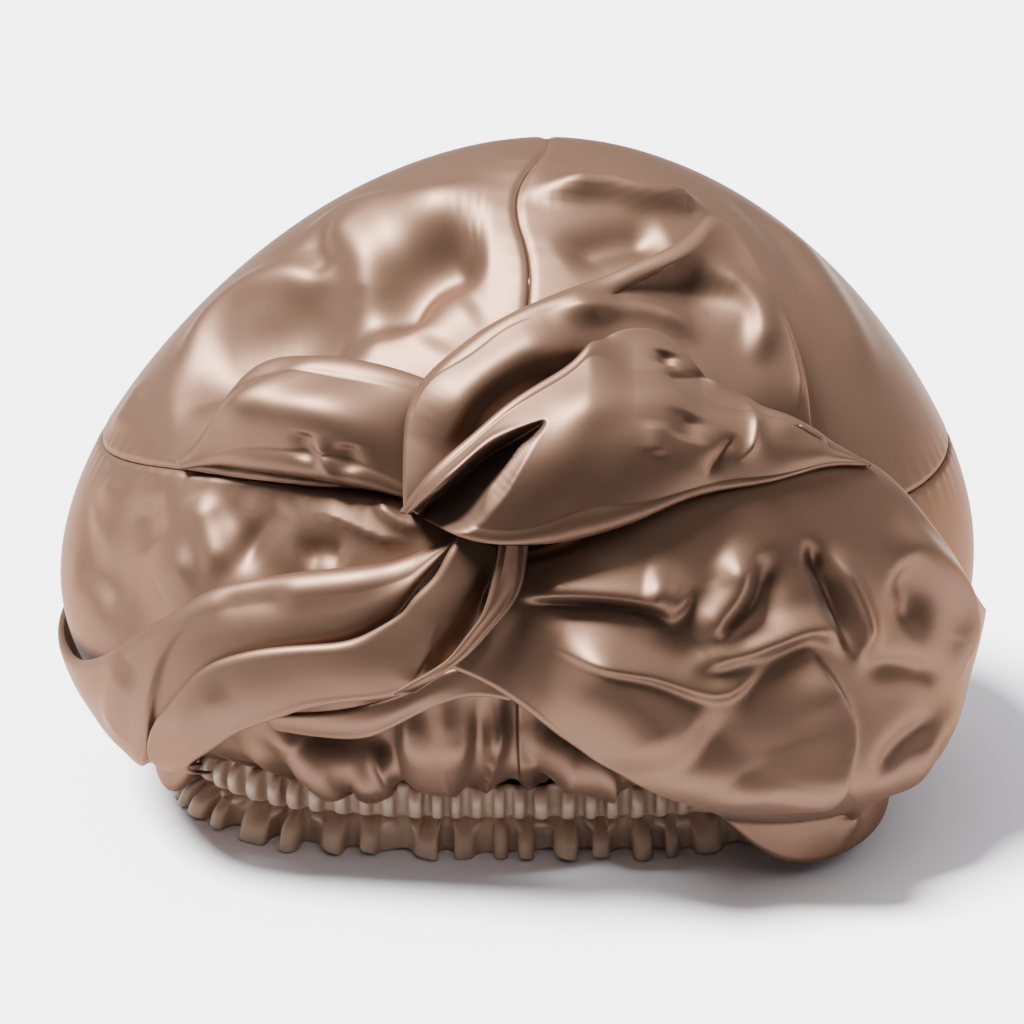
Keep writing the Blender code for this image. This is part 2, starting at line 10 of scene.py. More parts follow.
import bmesh
import bpy
import numpy as np
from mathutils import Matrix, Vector


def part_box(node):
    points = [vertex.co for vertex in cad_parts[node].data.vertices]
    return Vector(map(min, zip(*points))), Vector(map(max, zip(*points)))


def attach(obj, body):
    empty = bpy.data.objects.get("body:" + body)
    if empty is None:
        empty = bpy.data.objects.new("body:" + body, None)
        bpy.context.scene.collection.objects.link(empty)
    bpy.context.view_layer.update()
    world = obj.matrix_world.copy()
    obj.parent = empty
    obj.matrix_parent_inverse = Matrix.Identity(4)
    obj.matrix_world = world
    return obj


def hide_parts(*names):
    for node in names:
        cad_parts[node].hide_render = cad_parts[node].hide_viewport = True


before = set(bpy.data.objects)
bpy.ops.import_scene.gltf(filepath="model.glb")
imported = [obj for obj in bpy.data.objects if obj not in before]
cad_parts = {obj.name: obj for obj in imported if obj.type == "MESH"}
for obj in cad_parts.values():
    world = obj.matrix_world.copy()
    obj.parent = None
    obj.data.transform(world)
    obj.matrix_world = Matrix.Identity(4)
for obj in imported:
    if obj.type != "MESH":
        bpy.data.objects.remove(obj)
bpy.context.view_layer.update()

bl_info = {
    "name": "Sleep bonnet",
    "version": (1, 0, 0),
    "blender": (4, 5, 0),
    "location": "3D View > Sidebar > Sleep bonnet",
    "description": "Models a satin sleep bonnet with a twisted front in a small studio",
    "category": "Object",
}

MM = 0.001
# One fold stands this high, and the tables of the cap and the wraps count in folds
FOLD = 0.010
# Between two sewn panels
GAP = 0.0001
# How far the casing puffs out round the elastic, and the frill spreads below it
CASING_PUFF = 0.0030
FRILL_FLARE = 0.008
# The rise of the floor, below the elastic seam
FLOOR_RISE = -0.12
# Steps of turn and rise over which the dome's slope is taken
TURN_STEP = 1.0
RISE_STEP = 0.004
# The cap's folds fade over this rise towards the top
TOP_FADE = 0.04
# Corners this near become one where the hem closes
WELD = 0.00002
# Shorter than this has no direction
TINY = 1e-12

# A rolled edge: how far it turns under, its share of the section, its width as a share of its
# depth, and the most of the section that it takes up
ROLL_UNDER = math.radians(55)
ROLL_SHARE = 0.2
ROLL_WIDTH = 0.7
WIDEST_ROLL = 0.35

# The seams: how deep and wide the groove is, the puckers beside it, and how high a panel is
SEAM_DIP = 0.0008
SEAM_WIDTH = 0.0010
PUCKER_HEIGHT = 0.00018
PUCKER_WIDTH = 0.005
PANEL_HEIGHT = 0.14
# The crown's half is this many panel heights long, and its whole rise puckers like this turn
CROWN_LENGTH = 3
RISE_AS_TURN = 200
# How much closer the rows of a panel's grid stand beside its seams
DENSER_ENDS = 0.11

# A fold's path is drawn with this many steps, and fades over this share of its length. The
# fold reaches this many of its widths, and twice that where it is crisp.
PATH_STEPS = 20
PATH_FADE = 0.3
FOLD_REACH = 2.6
ROUND = 2
# A place in the photo is found on the cloth from this many corners, evened out by this many
# pixels. Corners that face away are put this many pixels off.
NEAREST = 4
EVENED = 0.1
HIDDEN = 10000.0

# The photo is this many pixels wide and high, and the camera's film this many millimetres
PHOTO_SIZE = 1024
FILM = 36

# The floor reaches this far, and at the front it ends just below the photo, so that the cloth
# mirrors the dark room there
FLOOR_SIZE = 6
FLOOR_FRONT = -0.20
# The air of the room is dark ahead of the first of these and light behind the second
AIR_AHEAD, AIR_BEHIND = -0.5, 0.3
# Where each light comes from, and how wide it is in degrees
KEY_LIGHT = ((-0.50, -0.16, 1.0), 20)
TOP_LIGHT = ((0.18, 0.12, 1.0), 110)

# The plain dome, level by level. Heights are shares of the cap above the hem, wide, front and
# back are shares of the half width and the half depth, lean is a shift to the right, and square
# is 2 where the dome is oval and more where it is boxier.
LEVELS = [
    # rise, height, wide, front, back, lean, square
    (0.00, 0.000, 0.700, 0.600, 0.710, 0.000, 3.00),
    (0.08, 0.040, 0.820, 0.730, 0.830, 0.000, 2.80),
    (0.20, 0.115, 0.950, 0.930, 0.960, 0.000, 2.40),
    (0.33, 0.230, 1.000, 1.000, 1.000, 0.000, 2.20),
    (0.44, 0.350, 0.985, 0.990, 0.980, 0.005, 2.15),
    (0.56, 0.500, 0.910, 0.935, 0.900, 0.015, 2.15),
    (0.68, 0.660, 0.770, 0.810, 0.780, 0.030, 2.15),
    (0.80, 0.820, 0.565, 0.640, 0.580, 0.045, 2.15),
    (0.90, 0.940, 0.320, 0.380, 0.310, 0.055, 2.15),
    (1.00, 1.000, 0.000, 0.000, 0.000, 0.060, 2.15),
    (1.10, 0.940, -0.320, -0.380, -0.310, 0.055, 2.15),
]

# The seam between the crown and the side panels
CROWN_SEAM = [
    # turn, rise
    (-180, 0.550),
    (-110, 0.550),
    (-75, 0.565),
    (-50, 0.597),
    (-20, 0.610),
    (10, 0.600),
    (50, 0.557),
    (75, 0.557),
    (110, 0.550),
    (180, 0.550),
]

# The seam between the crown halves, on the front of the cap
TOP_SEAM = [
    # rise, turn
    (0.50, -2),
    (0.70, -2),
    (0.81, -3),
    (0.87, -6),
    (0.92, -12),
    (0.96, -6),
    (1.00, 0),
]

# Dents and folds of the cap. Widths and heights are in folds.
CAP_FOLDS = [
    # from_turn, from_rise, to_turn, to_rise, width, height
    (-50, 0.80, -26, 0.82, 2.0, -0.6),
    (-66, 0.72, -54, 0.76, 1.5, -0.4),
    (-38, 0.90, -15, 0.94, 1.6, 0.3),
    (-62, 0.50, -52, 0.42, 1.6, -0.5),
    (-40, 0.56, -30, 0.50, 1.2, -0.4),
    (-40, 0.20, -22, 0.27, 2.0, -1.3),
    (-22, 0.27, 6, 0.29, 2.4, -1.5),
    (6, 0.29, 26, 0.18, 2.2, -1.3),
    (62, 0.33, 95, 0.22, 3.0, -0.25),
    (-66, 0.22, -98, 0.20, 2.2, -0.20),
]

# The waves of the gathers above the elastic. Each has its count round the hem, the rise where
# it ends, and its height in folds.
GATHERS = [
    # count, rise, height
    (95, 0.12, 0.16),
    (48, 0.22, 0.24),
    (27, 0.30, 0.22),
]
# The waves fade with this power of the rise that is left to their end
GATHER_FADE = 1.5
# How far the gathers stray from even spacing, in radians
GATHER_STRAY = 0.9

# The elastic hem's section, from the seam above down to the floor. Its heights are shares of the
# casing's and the frill's, and its outs are shares of the casing's puff and the frill's flare.
HEM_SECTION = [
    # casing_height, frill_height, casing_out, frill_out, gather
    (1.00, 1.00, 0.0, 0.00, 0.15),
    (0.92, 1.00, 0.7, 0.00, 0.35),
    (0.72, 1.00, 1.1, 0.00, 0.60),
    (0.50, 1.00, 1.2, 0.00, 0.65),
    (0.26, 1.00, 1.1, 0.00, 0.60),
    (0.08, 1.00, 0.7, 0.00, 0.35),
    (0.00, 1.00, 0.0, 0.00, 0.20),
    (0.00, 0.90, 0.3, 0.15, 0.45),
    (0.00, 0.62, 0.2, 0.55, 0.85),
    (0.00, 0.30, 0.0, 0.85, 1.05),
    (0.00, 0.00, 0.0, 1.00, 1.15),
]
# How many pleats the casing has and ruffles the frill, and how far they go out and aside
PLEATS = 95
RUFFLES = 58
PLEAT_OUT = 0.0042
PLEAT_ASIDE = 0.0012
RUFFLE_OUT = 0.0040
RUFFLE_ASIDE = 0.0011
HEM_COLUMNS_PER_PLEAT = 12
HEM_ROWS = 34
# The ruffles stray this much more than the pleats, and from this turn on
RUFFLE_STRAY = 1.5
RUFFLE_TURN = 50
# Pleats and ruffles swell and shrink round the hem: the count and the share of each swell
SWELLS = ((7, 0.25), (17, 0.15))
# The pleats fade by this share where the frill begins, and the ruffles take over this soon
PLEAT_FADE = 0.85
RUFFLE_START = 1.4
# How far the frill's edge is off the floor where it rises most, and how often it does
FRILL_RISE = 0.0022
FRILL_RISES = 11

# Every wrap is lofted through sections. Each runs from edge a to edge b, is lifted off the dome
# beside each edge, and turns down there to the lift of its seat. A puff is what the middle
# stands up by besides. All of them are in folds.
CROWN_LOBE = [
    # turn_a, rise_a, lift_a, seat_a, turn_b, rise_b, lift_b, seat_b, puff
    (-52, 0.602, 0.35, 0.10, -50, 0.596, 0.35, 0.10, 0.00),
    (-49, 0.640, 0.65, 0.10, -45, 0.608, 0.50, 0.10, 0.20),
    (-47, 0.700, 0.95, 0.10, -39, 0.612, 0.85, 0.10, 0.60),
    (-39, 0.730, 1.10, 0.10, -30, 0.614, 1.10, 0.10, 0.75),
    (-30, 0.736, 1.10, 0.10, -23, 0.612, 1.10, 0.10, 0.70),
    (-22, 0.732, 0.95, 0.10, -18, 0.608, 0.80, 0.10, 0.40),
    (-16, 0.724, 0.65, 0.10, -13, 0.600, 0.35, 0.10, 0.05),
]

ARCH_FOLD = [
    # turn_a, rise_a, lift_a, seat_a, turn_b, rise_b, lift_b, seat_b, puff
    (-15, 0.595, 1.40, 1.20, -13, 0.586, 1.30, 1.10, 0.00),
    (-16, 0.630, 1.50, 1.20, -11, 0.611, 1.35, 1.15, 0.05),
    (-17, 0.670, 1.50, 1.20, -8, 0.645, 1.30, 1.10, 0.15),
    (-17, 0.712, 1.40, 1.00, -5, 0.668, 1.20, 1.00, 0.25),
    (-14, 0.751, 1.25, 0.25, -1, 0.695, 1.10, 0.85, 0.25),
    (-9, 0.778, 1.15, 0.20, 4, 0.722, 1.00, 0.70, 0.25),
    (0, 0.803, 1.15, 0.12, 10, 0.735, 0.90, 0.60, 0.20),
    (10, 0.820, 1.15, 0.12, 15, 0.735, 0.80, 0.50, 0.00),
    (23, 0.836, 1.15, 0.25, 20, 0.730, 0.75, 0.45, -0.25),
    (37, 0.852, 1.10, 0.35, 24, 0.715, 0.70, 0.40, -0.35),
    (48, 0.860, 1.00, 0.35, 28, 0.700, 0.65, 0.35, -0.20),
    (48, 0.820, 0.95, 0.20, 31, 0.685, 0.65, 0.35, 0.00),
    (46, 0.771, 0.90, 0.08, 34, 0.670, 0.60, 0.30, 0.15),
    (44, 0.717, 0.80, 0.08, 37, 0.655, 0.55, 0.30, 0.20),
    (41, 0.663, 0.65, 0.15, 39, 0.640, 0.50, 0.25, 0.10),
]

TWIST_PUFF = [
    # turn_a, rise_a, lift_a, seat_a, turn_b, rise_b, lift_b, seat_b, puff
    (-15, 0.588, 1.75, 1.45, -11.5, 0.580, 2.10, 1.80, 0.00),
    (-12.6, 0.619, 2.20, 1.85, -10.2, 0.576, 2.40, 2.05, 0.15),
    (-8, 0.661, 2.35, 1.90, -7.2, 0.566, 2.60, 2.10, 0.45),
    (-3.7, 0.695, 2.30, 1.85, -3.7, 0.561, 2.60, 2.10, 0.60),
    (1.9, 0.722, 2.10, 1.65, 0, 0.561, 2.50, 1.90, 0.75),
    (5.5, 0.739, 1.95, 1.45, 3, 0.562, 2.40, 1.50, 0.80),
    (8.9, 0.759, 1.80, 1.20, 6, 0.566, 2.30, 1.20, 0.80),
    (16.2, 0.769, 1.60, 1.10, 9, 0.572, 2.20, 1.20, 0.80),
    (22.2, 0.755, 1.55, 1.02, 13, 0.582, 2.00, 1.30, 0.70),
    (25.5, 0.722, 1.50, 1.00, 17.8, 0.596, 1.80, 1.35, 0.60),
    (30, 0.700, 1.45, 0.95, 23, 0.604, 1.55, 1.15, 0.45),
    (36.9, 0.661, 1.35, 0.85, 31, 0.607, 1.40, 1.12, 0.30),
    (42, 0.630, 1.25, 0.80, 38.5, 0.611, 1.32, 1.10, 0.12),
    (46, 0.602, 1.20, 1.00, 44.5, 0.603, 1.22, 1.05, 0.00),
]

# The twist puff's upper edge is crisp up to the first of these shares of its length, soft
# between the middle two, where it runs into the arch, and crisp again past the last
SOFT_TOP = (0.36, 0.46, 0.68, 0.80)
SOFT_WIDTH = 0.35

# The pocket that opens in the twist puff, along its deepest line in the photo. Above and below
# are how far its lips are from that line there, in photo pixels, and depth is in millimetres.
POCKET = [
    # x, y, above, below, depth
    (546, 421, 3, 3, 0),
    (521, 437, 10, 18, 12),
    (489, 456, 11, 40, 18),
    (463, 476, 9, 48, 22),
    (440, 495, 8, 50, 24),
    (417, 513, 6, 34, 24),
    (398, 530, 6, 18, 24),
]

FLAP_RIGHT = [
    # turn_a, rise_a, lift_a, seat_a, turn_b, rise_b, lift_b, seat_b, puff
    (-3, 0.545, 0.80, 0.12, -8, 0.415, 0.80, 0.50, 0.00),
    (1, 0.555, 0.85, 0.12, -4, 0.395, 0.85, 0.50, 0.05),
    (6, 0.570, 0.90, 0.12, 1, 0.355, 1.00, 0.55, 0.20),
    (12, 0.606, 0.95, 0.12, 7, 0.295, 1.20, 0.90, 0.35),
    (20, 0.622, 1.00, 0.12, 14, 0.205, 1.50, 1.20, 0.40),
    (27, 0.630, 1.05, 0.12, 23, 0.095, 2.40, 2.10, 0.35),
    (34, 0.634, 1.08, 0.12, 31, -0.020, 3.20, 2.90, 0.25),
    (41, 0.628, 1.08, 0.12, 37, -0.080, 3.80, 3.40, 0.20),
    (48, 0.604, 1.08, 0.12, 46, -0.085, 3.70, 3.20, 0.15),
    (54, 0.540, 0.95, 0.12, 58, -0.080, 2.50, 1.90, 0.10),
    (60, 0.460, 0.70, 0.12, 70, -0.060, 1.80, 1.20, 0.00),
    (68, 0.380, 0.45, 0.18, 82, -0.040, 1.35, 0.80, 0.00),
    (78, 0.320, 0.38, 0.18, 94, -0.020, 1.00, 0.50, 0.00),
    (90, 0.280, 0.38, 0.18, 106, 0.010, 0.80, 0.40, 0.00),
]

LAPEL_LEFT = [
    # turn_a, rise_a, lift_a, seat_a, turn_b, rise_b, lift_b, seat_b, puff
    (-8, 0.570, 1.00, 0.15, -9, 0.552, 1.00, 0.20, 0.00),
    (-11, 0.558, 1.00, 0.15, -11, 0.514, 1.00, 0.20, 0.05),
    (-14, 0.544, 1.00, 0.15, -14, 0.462, 0.95, 0.20, 0.10),
    (-18, 0.532, 1.05, 0.15, -18, 0.412, 0.80, 0.20, 0.15),
    (-23, 0.523, 1.05, 0.15, -22, 0.378, 0.75, 0.20, 0.15),
    (-29, 0.509, 1.05, 0.15, -27, 0.348, 0.75, 0.20, 0.15),
    (-34, 0.493, 1.05, 0.15, -32, 0.318, 0.75, 0.20, 0.15),
    (-38, 0.472, 1.05, 0.15, -36, 0.285, 0.80, 0.20, 0.15),
    (-42, 0.438, 1.00, 0.15, -39, 0.245, 0.90, 0.40, 0.15),
    (-46, 0.404, 0.95, 0.15, -42, 0.185, 1.05, 0.60, 0.20),
    (-50, 0.367, 0.90, 0.15, -45, 0.120, 1.25, 0.80, 0.20),
    (-56, 0.324, 0.75, 0.15, -52, 0.000, 1.50, 1.00, 0.15),
    (-64, 0.290, 0.55, 0.12, -62, -0.090, 1.60, 1.00, 0.10),
    (-75, 0.275, 0.35, 0.10, -75, -0.075, 1.45, 0.90, 0.00),
    (-88, 0.270, 0.30, 0.10, -90, -0.045, 1.00, 0.50, 0.00),
    (-102, 0.265, 0.30, 0.10, -105, 0.010, 0.70, 0.40, 0.00),
]

STRAP_BROAD = [
    # turn_a, rise_a, lift_a, seat_a, turn_b, rise_b, lift_b, seat_b, puff
    (-8, 0.568, 1.55, 1.25, -3, 0.560, 1.40, 1.10, 0.00),
    (-9, 0.550, 1.60, 1.30, -3, 0.532, 1.30, 1.05, 0.00),
    (-10, 0.529, 1.60, 1.30, -4, 0.505, 1.25, 1.05, 0.10),
    (-12, 0.505, 1.60, 1.30, -5, 0.471, 1.25, 1.05, 0.15),
    (-13, 0.489, 1.55, 1.30, -7, 0.442, 1.25, 1.05, 0.15),
    (-15, 0.472, 1.50, 1.25, -9, 0.412, 1.25, 1.05, 0.10),
    (-18, 0.452, 1.50, 1.12, -12, 0.382, 1.20, 0.80, 0.05),
    (-22, 0.440, 1.50, 1.12, -17, 0.365, 1.15, 0.75, 0.05),
    (-27, 0.428, 1.50, 1.12, -23, 0.345, 1.15, 0.75, 0.05),
    (-31, 0.412, 1.50, 1.12, -28, 0.313, 1.15, 0.75, 0.10),
    (-35, 0.384, 1.50, 1.12, -32, 0.279, 1.15, 0.75, 0.10),
    (-38, 0.342, 1.50, 1.12, -35, 0.240, 1.20, 0.80, 0.10),
    (-41, 0.290, 1.50, 1.20, -38, 0.200, 1.30, 1.05, 0.05),
    (-43, 0.230, 1.55, 1.30, -40, 0.160, 1.35, 1.10, 0.05),
    (-45, 0.130, 1.60, 1.30, -42, 0.100, 1.35, 1.10, 0.00),
    (-48, 0.050, 1.50, 1.25, -45, 0.040, 1.25, 1.00, 0.00),
]

STRAP_NARROW = [
    # turn_a, rise_a, lift_a, seat_a, turn_b, rise_b, lift_b, seat_b, puff
    (-3.2, 0.562, 1.90, 1.60, 0.2, 0.561, 1.55, 1.15, 0.00),
    (-3.4, 0.542, 1.90, 1.60, 0.1, 0.541, 1.50, 1.15, 0.00),
    (-3.8, 0.519, 1.85, 1.60, -0.4, 0.515, 1.45, 1.15, 0.05),
    (-4.5, 0.492, 1.80, 1.60, -1.8, 0.490, 1.45, 1.15, 0.05),
    (-6.0, 0.466, 1.75, 1.60, -3.5, 0.468, 1.45, 1.15, 0.05),
    (-7.8, 0.438, 1.75, 1.60, -5.3, 0.444, 1.45, 1.15, 0.05),
    (-10.5, 0.413, 1.70, 1.60, -8.1, 0.415, 1.45, 1.25, 0.00),
    (-13.2, 0.390, 1.65, 1.60, -11.0, 0.391, 1.60, 1.50, 0.00),
]

INNER_FOLD = [
    # turn_a, rise_a, lift_a, seat_a, turn_b, rise_b, lift_b, seat_b, puff
    (-31, 0.290, -0.50, -0.75, -30, 0.250, -0.60, -0.85, 0.00),
    (-24, 0.315, 0.00, -0.25, -23, 0.262, -0.20, -0.45, 0.05),
    (-17, 0.345, 0.30, 0.05, -17, 0.282, 0.10, -0.15, 0.10),
    (-12, 0.375, 0.35, 0.10, -13, 0.317, 0.20, -0.05, 0.10),
    (-9, 0.400, 0.35, 0.10, -9, 0.350, 0.30, 0.05, 0.05),
    (-5, 0.412, 0.38, 0.13, -5, 0.366, 0.33, 0.08, 0.00),
    (-1, 0.402, 0.42, 0.20, -1, 0.362, 0.42, 0.20, 0.00),
]

# Folds that show in the photo. A path is a few photo places, left and right are the fold's
# widths on either hand of it and height what it stands up by, in millimetres, and edge is 2 for
# a round fold and 1 for a crisp one.
CROWN_LEFT_FOLDS = [
    # path, left, right, height, edge
    (((290, 245), (342, 213), (430, 196), (508, 186)), 6, 11, 3.0, 2),
    (((336, 217), (350, 238), (366, 262), (366, 292), (352, 325)), 9, 8, 4.0, 2),
    (((326, 226), (318, 250), (332, 275)), 5, 6, -2.0, 2),
    (((492, 258), (445, 270), (414, 292), (405, 340)), 7, 15, -9.0, 2),
    (((425, 352), (450, 322), (480, 300)), 10, 9, 2.0, 2),
    (((190, 378), (205, 322), (232, 296), (262, 281), (322, 283), (360, 310)), 6, 6, 2.5, 2),
    (((170, 415), (215, 380), (262, 352), (320, 345), (375, 352)), 16, 8, -10.0, 2),
    (((342, 284), (355, 292), (370, 296)), 1, 1.5, -0.5, 1),
    (((150, 380), (128, 412), (116, 436)), 9, 9, 2.0, 2),
]

CROWN_RIGHT_FOLDS = [
    # path, left, right, height, edge
    (
        ((514, 184), (551, 190), (580, 191), (613, 195), (655, 204), (690, 207), (706, 222)),
        4.6, 4.6, 7, 2,
    ),
    (((560, 262), (590, 248), (630, 238), (672, 238)), 6.9, 6.9, -5.6, 2),
    (((770, 215), (815, 268), (850, 330), (875, 400)), 10.3, 10.3, 2.1, 2),
    (((722, 190), (775, 240), (812, 300)), 6.9, 6.9, -1.4, 2),
]

SIDE_LEFT_FOLDS = [
    # path, left, right, height, edge
    (((120, 465), (112, 518), (88, 545)), 9, 9, 3.0, 2),
    (((143, 498), (152, 550)), 8, 8, -3.0, 2),
    (((196, 490), (212, 535), (226, 578)), 6, 6, 2.5, 2),
    (((300, 508), (268, 522), (250, 545), (243, 578)), 4, 4, -2.5, 2),
    (((306, 512), (334, 519), (360, 529), (390, 540), (420, 543)), 9, 1.5, 2.2, 1),
    (((298, 562), (325, 553), (348, 563)), 5, 4, -2.8, 2),
    (((155, 600), (170, 575), (200, 560)), 6, 6, 2.0, 2),
    (((75, 560), (100, 575), (130, 610)), 9, 7, -2.5, 2),
    (((377, 492), (388, 512), (408, 524), (432, 532)), 2, 1, 1.5, 1),
    (((372, 500), (392, 522), (425, 535)), 2, 1, 1.2, 1),
    (((268, 705), (300, 740), (330, 768), (345, 782)), 7, 7, 9.0, 2),
    (((350, 768), (362, 775), (360, 795)), 4, 4, 5.0, 2),
    (((408, 690), (418, 735), (422, 790)), 5, 5, 7.0, 2),
    (((452, 680), (448, 735), (444, 792)), 5, 6, 8.0, 2),
    (((470, 690), (464, 740), (461, 790)), 3, 3, 4.0, 2),
    (((497, 685), (492, 735), (480, 790)), 4, 3, 8.0, 2),
    (((380, 740), (386, 765), (384, 792)), 4, 4, 6.0, 2),
]

SIDE_RIGHT_FOLDS = [
    # path, left, right, height, edge
    (((535, 765), (583, 758), (630, 785)), 11, 12, 9.0, 2),
    (((517, 730), (530, 760), (545, 790)), 4, 4, -3.0, 2),
    (((548, 770), (560, 790), (580, 800)), 3, 3, -2.0, 2),
    (((600, 745), (612, 770), (600, 795)), 4, 4, 2.0, 2),
]

LOBE_FOLDS = [
    # path, left, right, height, edge
    (((303, 430), (304, 464)), 3.5, 3.5, -1.3, 2),
    (((316, 436), (325, 460), (338, 486)), 2.6, 2.6, 1.5, 2),
    (((347, 442), (350, 476)), 3.5, 3.5, -1.3, 2),
    (((215, 430), (251, 392), (300, 372), (350, 367)), 4, 6, 1.5, 2),
]

ARCH_FOLDS = [
    # path, left, right, height, edge
    (
        ((408, 470), (412, 420), (440, 378), (485, 340), (532, 314), (596, 290), (650, 266)),
        2.2, 6.6, 2, 2,
    ),
    (((575, 305), (640, 292), (700, 292), (742, 312)), 6.6, 7.7, -5.2, 2),
    (((545, 322), (579, 311), (625, 304), (665, 310), (688, 330), (697, 350)), 3.3, 4.4, 3.2, 2),
    (((700, 262), (735, 282), (757, 305), (762, 335), (748, 368)), 4.4, 4.4, 2.9, 2),
    (((775, 304), (790, 344), (799, 383), (797, 414)), 1.3, 1.3, 1.3, 1),
    (((432, 455), (474, 398), (532, 360), (588, 340)), 9, 4, 5.0, 2),
    (((455, 435), (518, 375), (565, 352)), 3.3, 3.3, -2, 2),
]

PUFF_FOLDS = [
    # path, left, right, height, edge
    (((412, 512), (452, 474), (489, 441), (530, 424)), 1.5, 1.2, 0.8, 2),
    (((543, 427), (521, 456), (502, 481), (487, 502), (482, 518)), 2.0, 1.5, 2.0, 2),
    (((545, 424), (600, 405), (655, 399), (705, 410)), 8, 6, 1.5, 2),
    (((690, 412), (687, 442)), 5, 5, -2.0, 2),
    (((657, 420), (655, 458)), 4, 4, 1.2, 2),
    (((747, 398), (753, 425), (750, 445), (735, 465)), 3, 1.5, 2.5, 1),
    (((738, 432), (724, 455), (706, 480)), 3, 3, -2.0, 1),
    (((657, 371), (674, 375), (704, 376), (722, 378)), 1.5, 3, -1.8, 1),
    (((668, 350), (667, 366)), 3, 3, -2.0, 2),
    (((765, 425), (800, 432), (835, 452)), 4, 4, 1.5, 2),
]

FLAP_FOLDS = [
    # path, left, right, height, edge
    (((512, 597), (583, 596), (640, 602), (668, 612), (677, 626)), 7.7, 1.7, 5.1, 2),
    (((519, 606), (600, 606), (655, 616), (672, 630)), 2.2, 5.5, -3.1, 2),
    (((716, 550), (738, 578), (728, 608), (690, 643)), 6.6, 5.5, 6, 2),
    (((640, 585), (665, 592), (690, 612)), 5.5, 5.5, 3.4, 2),
    (((762, 545), (768, 580), (748, 615), (705, 652)), 6.6, 6.6, -5.1, 2),
    (((800, 538), (826, 568), (842, 604), (852, 640), (854, 664)), 2.2, 4.4, -6, 2),
    (((819, 552), (844, 588), (860, 627), (862, 665)), 5.5, 2.2, 6, 2),
    (((672, 672), (726, 655), (779, 637), (819, 628), (838, 640), (850, 665)), 4.4, 3.3, 5.1, 2),
    (((856, 668), (904, 666), (944, 679)), 3.3, 3.3, -2.5, 2),
    (((794, 640), (820, 688), (840, 731), (834, 770), (815, 812)), 3.5, 15, 9.0, 2),
    (
        ((540, 640), (611, 664), (654, 674), (700, 691), (728, 692), (750, 673), (776, 652)),
        5.5, 2, 3.7, 2,
    ),
    (((880, 520), (933, 566), (960, 610), (961, 645), (940, 680)), 6.6, 6.6, 6, 2),
    (((896, 560), (915, 600), (905, 640)), 7.7, 7.7, -4.2, 2),
    (((940, 720), (897, 749), (869, 786)), 4.4, 4.4, -2.5, 2),
    (((965, 700), (930, 745), (885, 800)), 5.5, 5.5, 2, 2),
    (((836, 780), (848, 822), (835, 862)), 3.3, 2.2, 3.4, 2),
    (((550, 655), (615, 690), (655, 730), (672, 775)), 9, 15, 6.0, 2),
    (((690, 720), (730, 750), (765, 800)), 10, 12, -4.0, 2),
]

LAPEL_FOLDS = [
    # path, left, right, height, edge
    (
        ((200, 612), (170, 643), (157, 675), (150, 710), (148, 740), (153, 770), (166, 800)),
        1.2, 5, 2.0, 2,
    ),
    (((255, 592), (330, 586), (400, 572)), 5, 5, 1.2, 2),
    (((130, 660), (115, 700), (118, 740)), 7, 7, 2.0, 2),
    (((210, 608), (245, 600), (300, 600)), 4, 4, -1.0, 2),
]

STRAP_FOLDS = [
    # path, left, right, height, edge
    (((440, 620), (427, 651), (415, 678), (402, 698)), 1, 3, 1.2, 1),
    (((496, 550), (484, 591), (462, 628), (440, 655)), 3, 3, -1.5, 2),
    (((230, 690), (190, 720), (175, 750)), 5, 5, 1.2, 2),
]

# Faces along and across each panel of the cap
CROWN_GRID = (240, 120)
SIDE_GRID = (400, 90)
TWIST_GRID = (240, 140)

# The wraps without a pocket. Grid is the faces along and across, flat the size a wrap is cut to,
# and between the two shares of hang the lift changes from one edge's to the other's.
WRAPS = [
    # name, sections, grid, hang, folds, flat
    ("crown_lobe", CROWN_LOBE, (120, 80), (0, 1), LOBE_FOLDS, (0.09, 0.045)),
    ("arch_fold", ARCH_FOLD, (180, 80), (0, 1), ARCH_FOLDS, (0.17, 0.045)),
    ("flap_right", FLAP_RIGHT, (240, 160), (0.35, 0.95), FLAP_FOLDS, (0.24, 0.12)),
    ("lapel_left", LAPEL_LEFT, (240, 90), (0.2, 0.95), LAPEL_FOLDS, (0.22, 0.065)),
    ("strap_broad", STRAP_BROAD, (180, 50), (0, 1), STRAP_FOLDS, (0.15, 0.028)),
    ("strap_narrow", STRAP_NARROW, (90, 30), (0, 1), (), (0.05, 0.0125)),
    ("inner_fold", INNER_FOLD, (90, 30), (0, 1), (), (0.05, 0.018)),
]


class BonnetSizes(bpy.types.PropertyGroup):
    """The bonnet's driving sizes"""

    half_width: bpy.props.FloatProperty(
        name="Half width", description="From the bonnet's middle to its side",
        default=0.150, unit="LENGTH",
    )
    half_depth: bpy.props.FloatProperty(
        name="Half depth", description="From the bonnet's middle to its back",
        default=0.116, unit="LENGTH",
    )
    height: bpy.props.FloatProperty(
        name="Height", description="From the floor to the top of the crown",
        default=0.211, unit="LENGTH",
    )
    casing: bpy.props.FloatProperty(
        name="Casing height", description="Between the two rows of stitches that hold the elastic",
        default=0.0115, unit="LENGTH",
    )
    frill: bpy.props.FloatProperty(
        name="Frill height", description="The gathered edge below the elastic",
        default=0.0100, unit="LENGTH",
    )
    cloth: bpy.props.FloatProperty(
        name="Cloth thickness", description="Two layers of satin",
        default=0.0009, unit="LENGTH",
    )


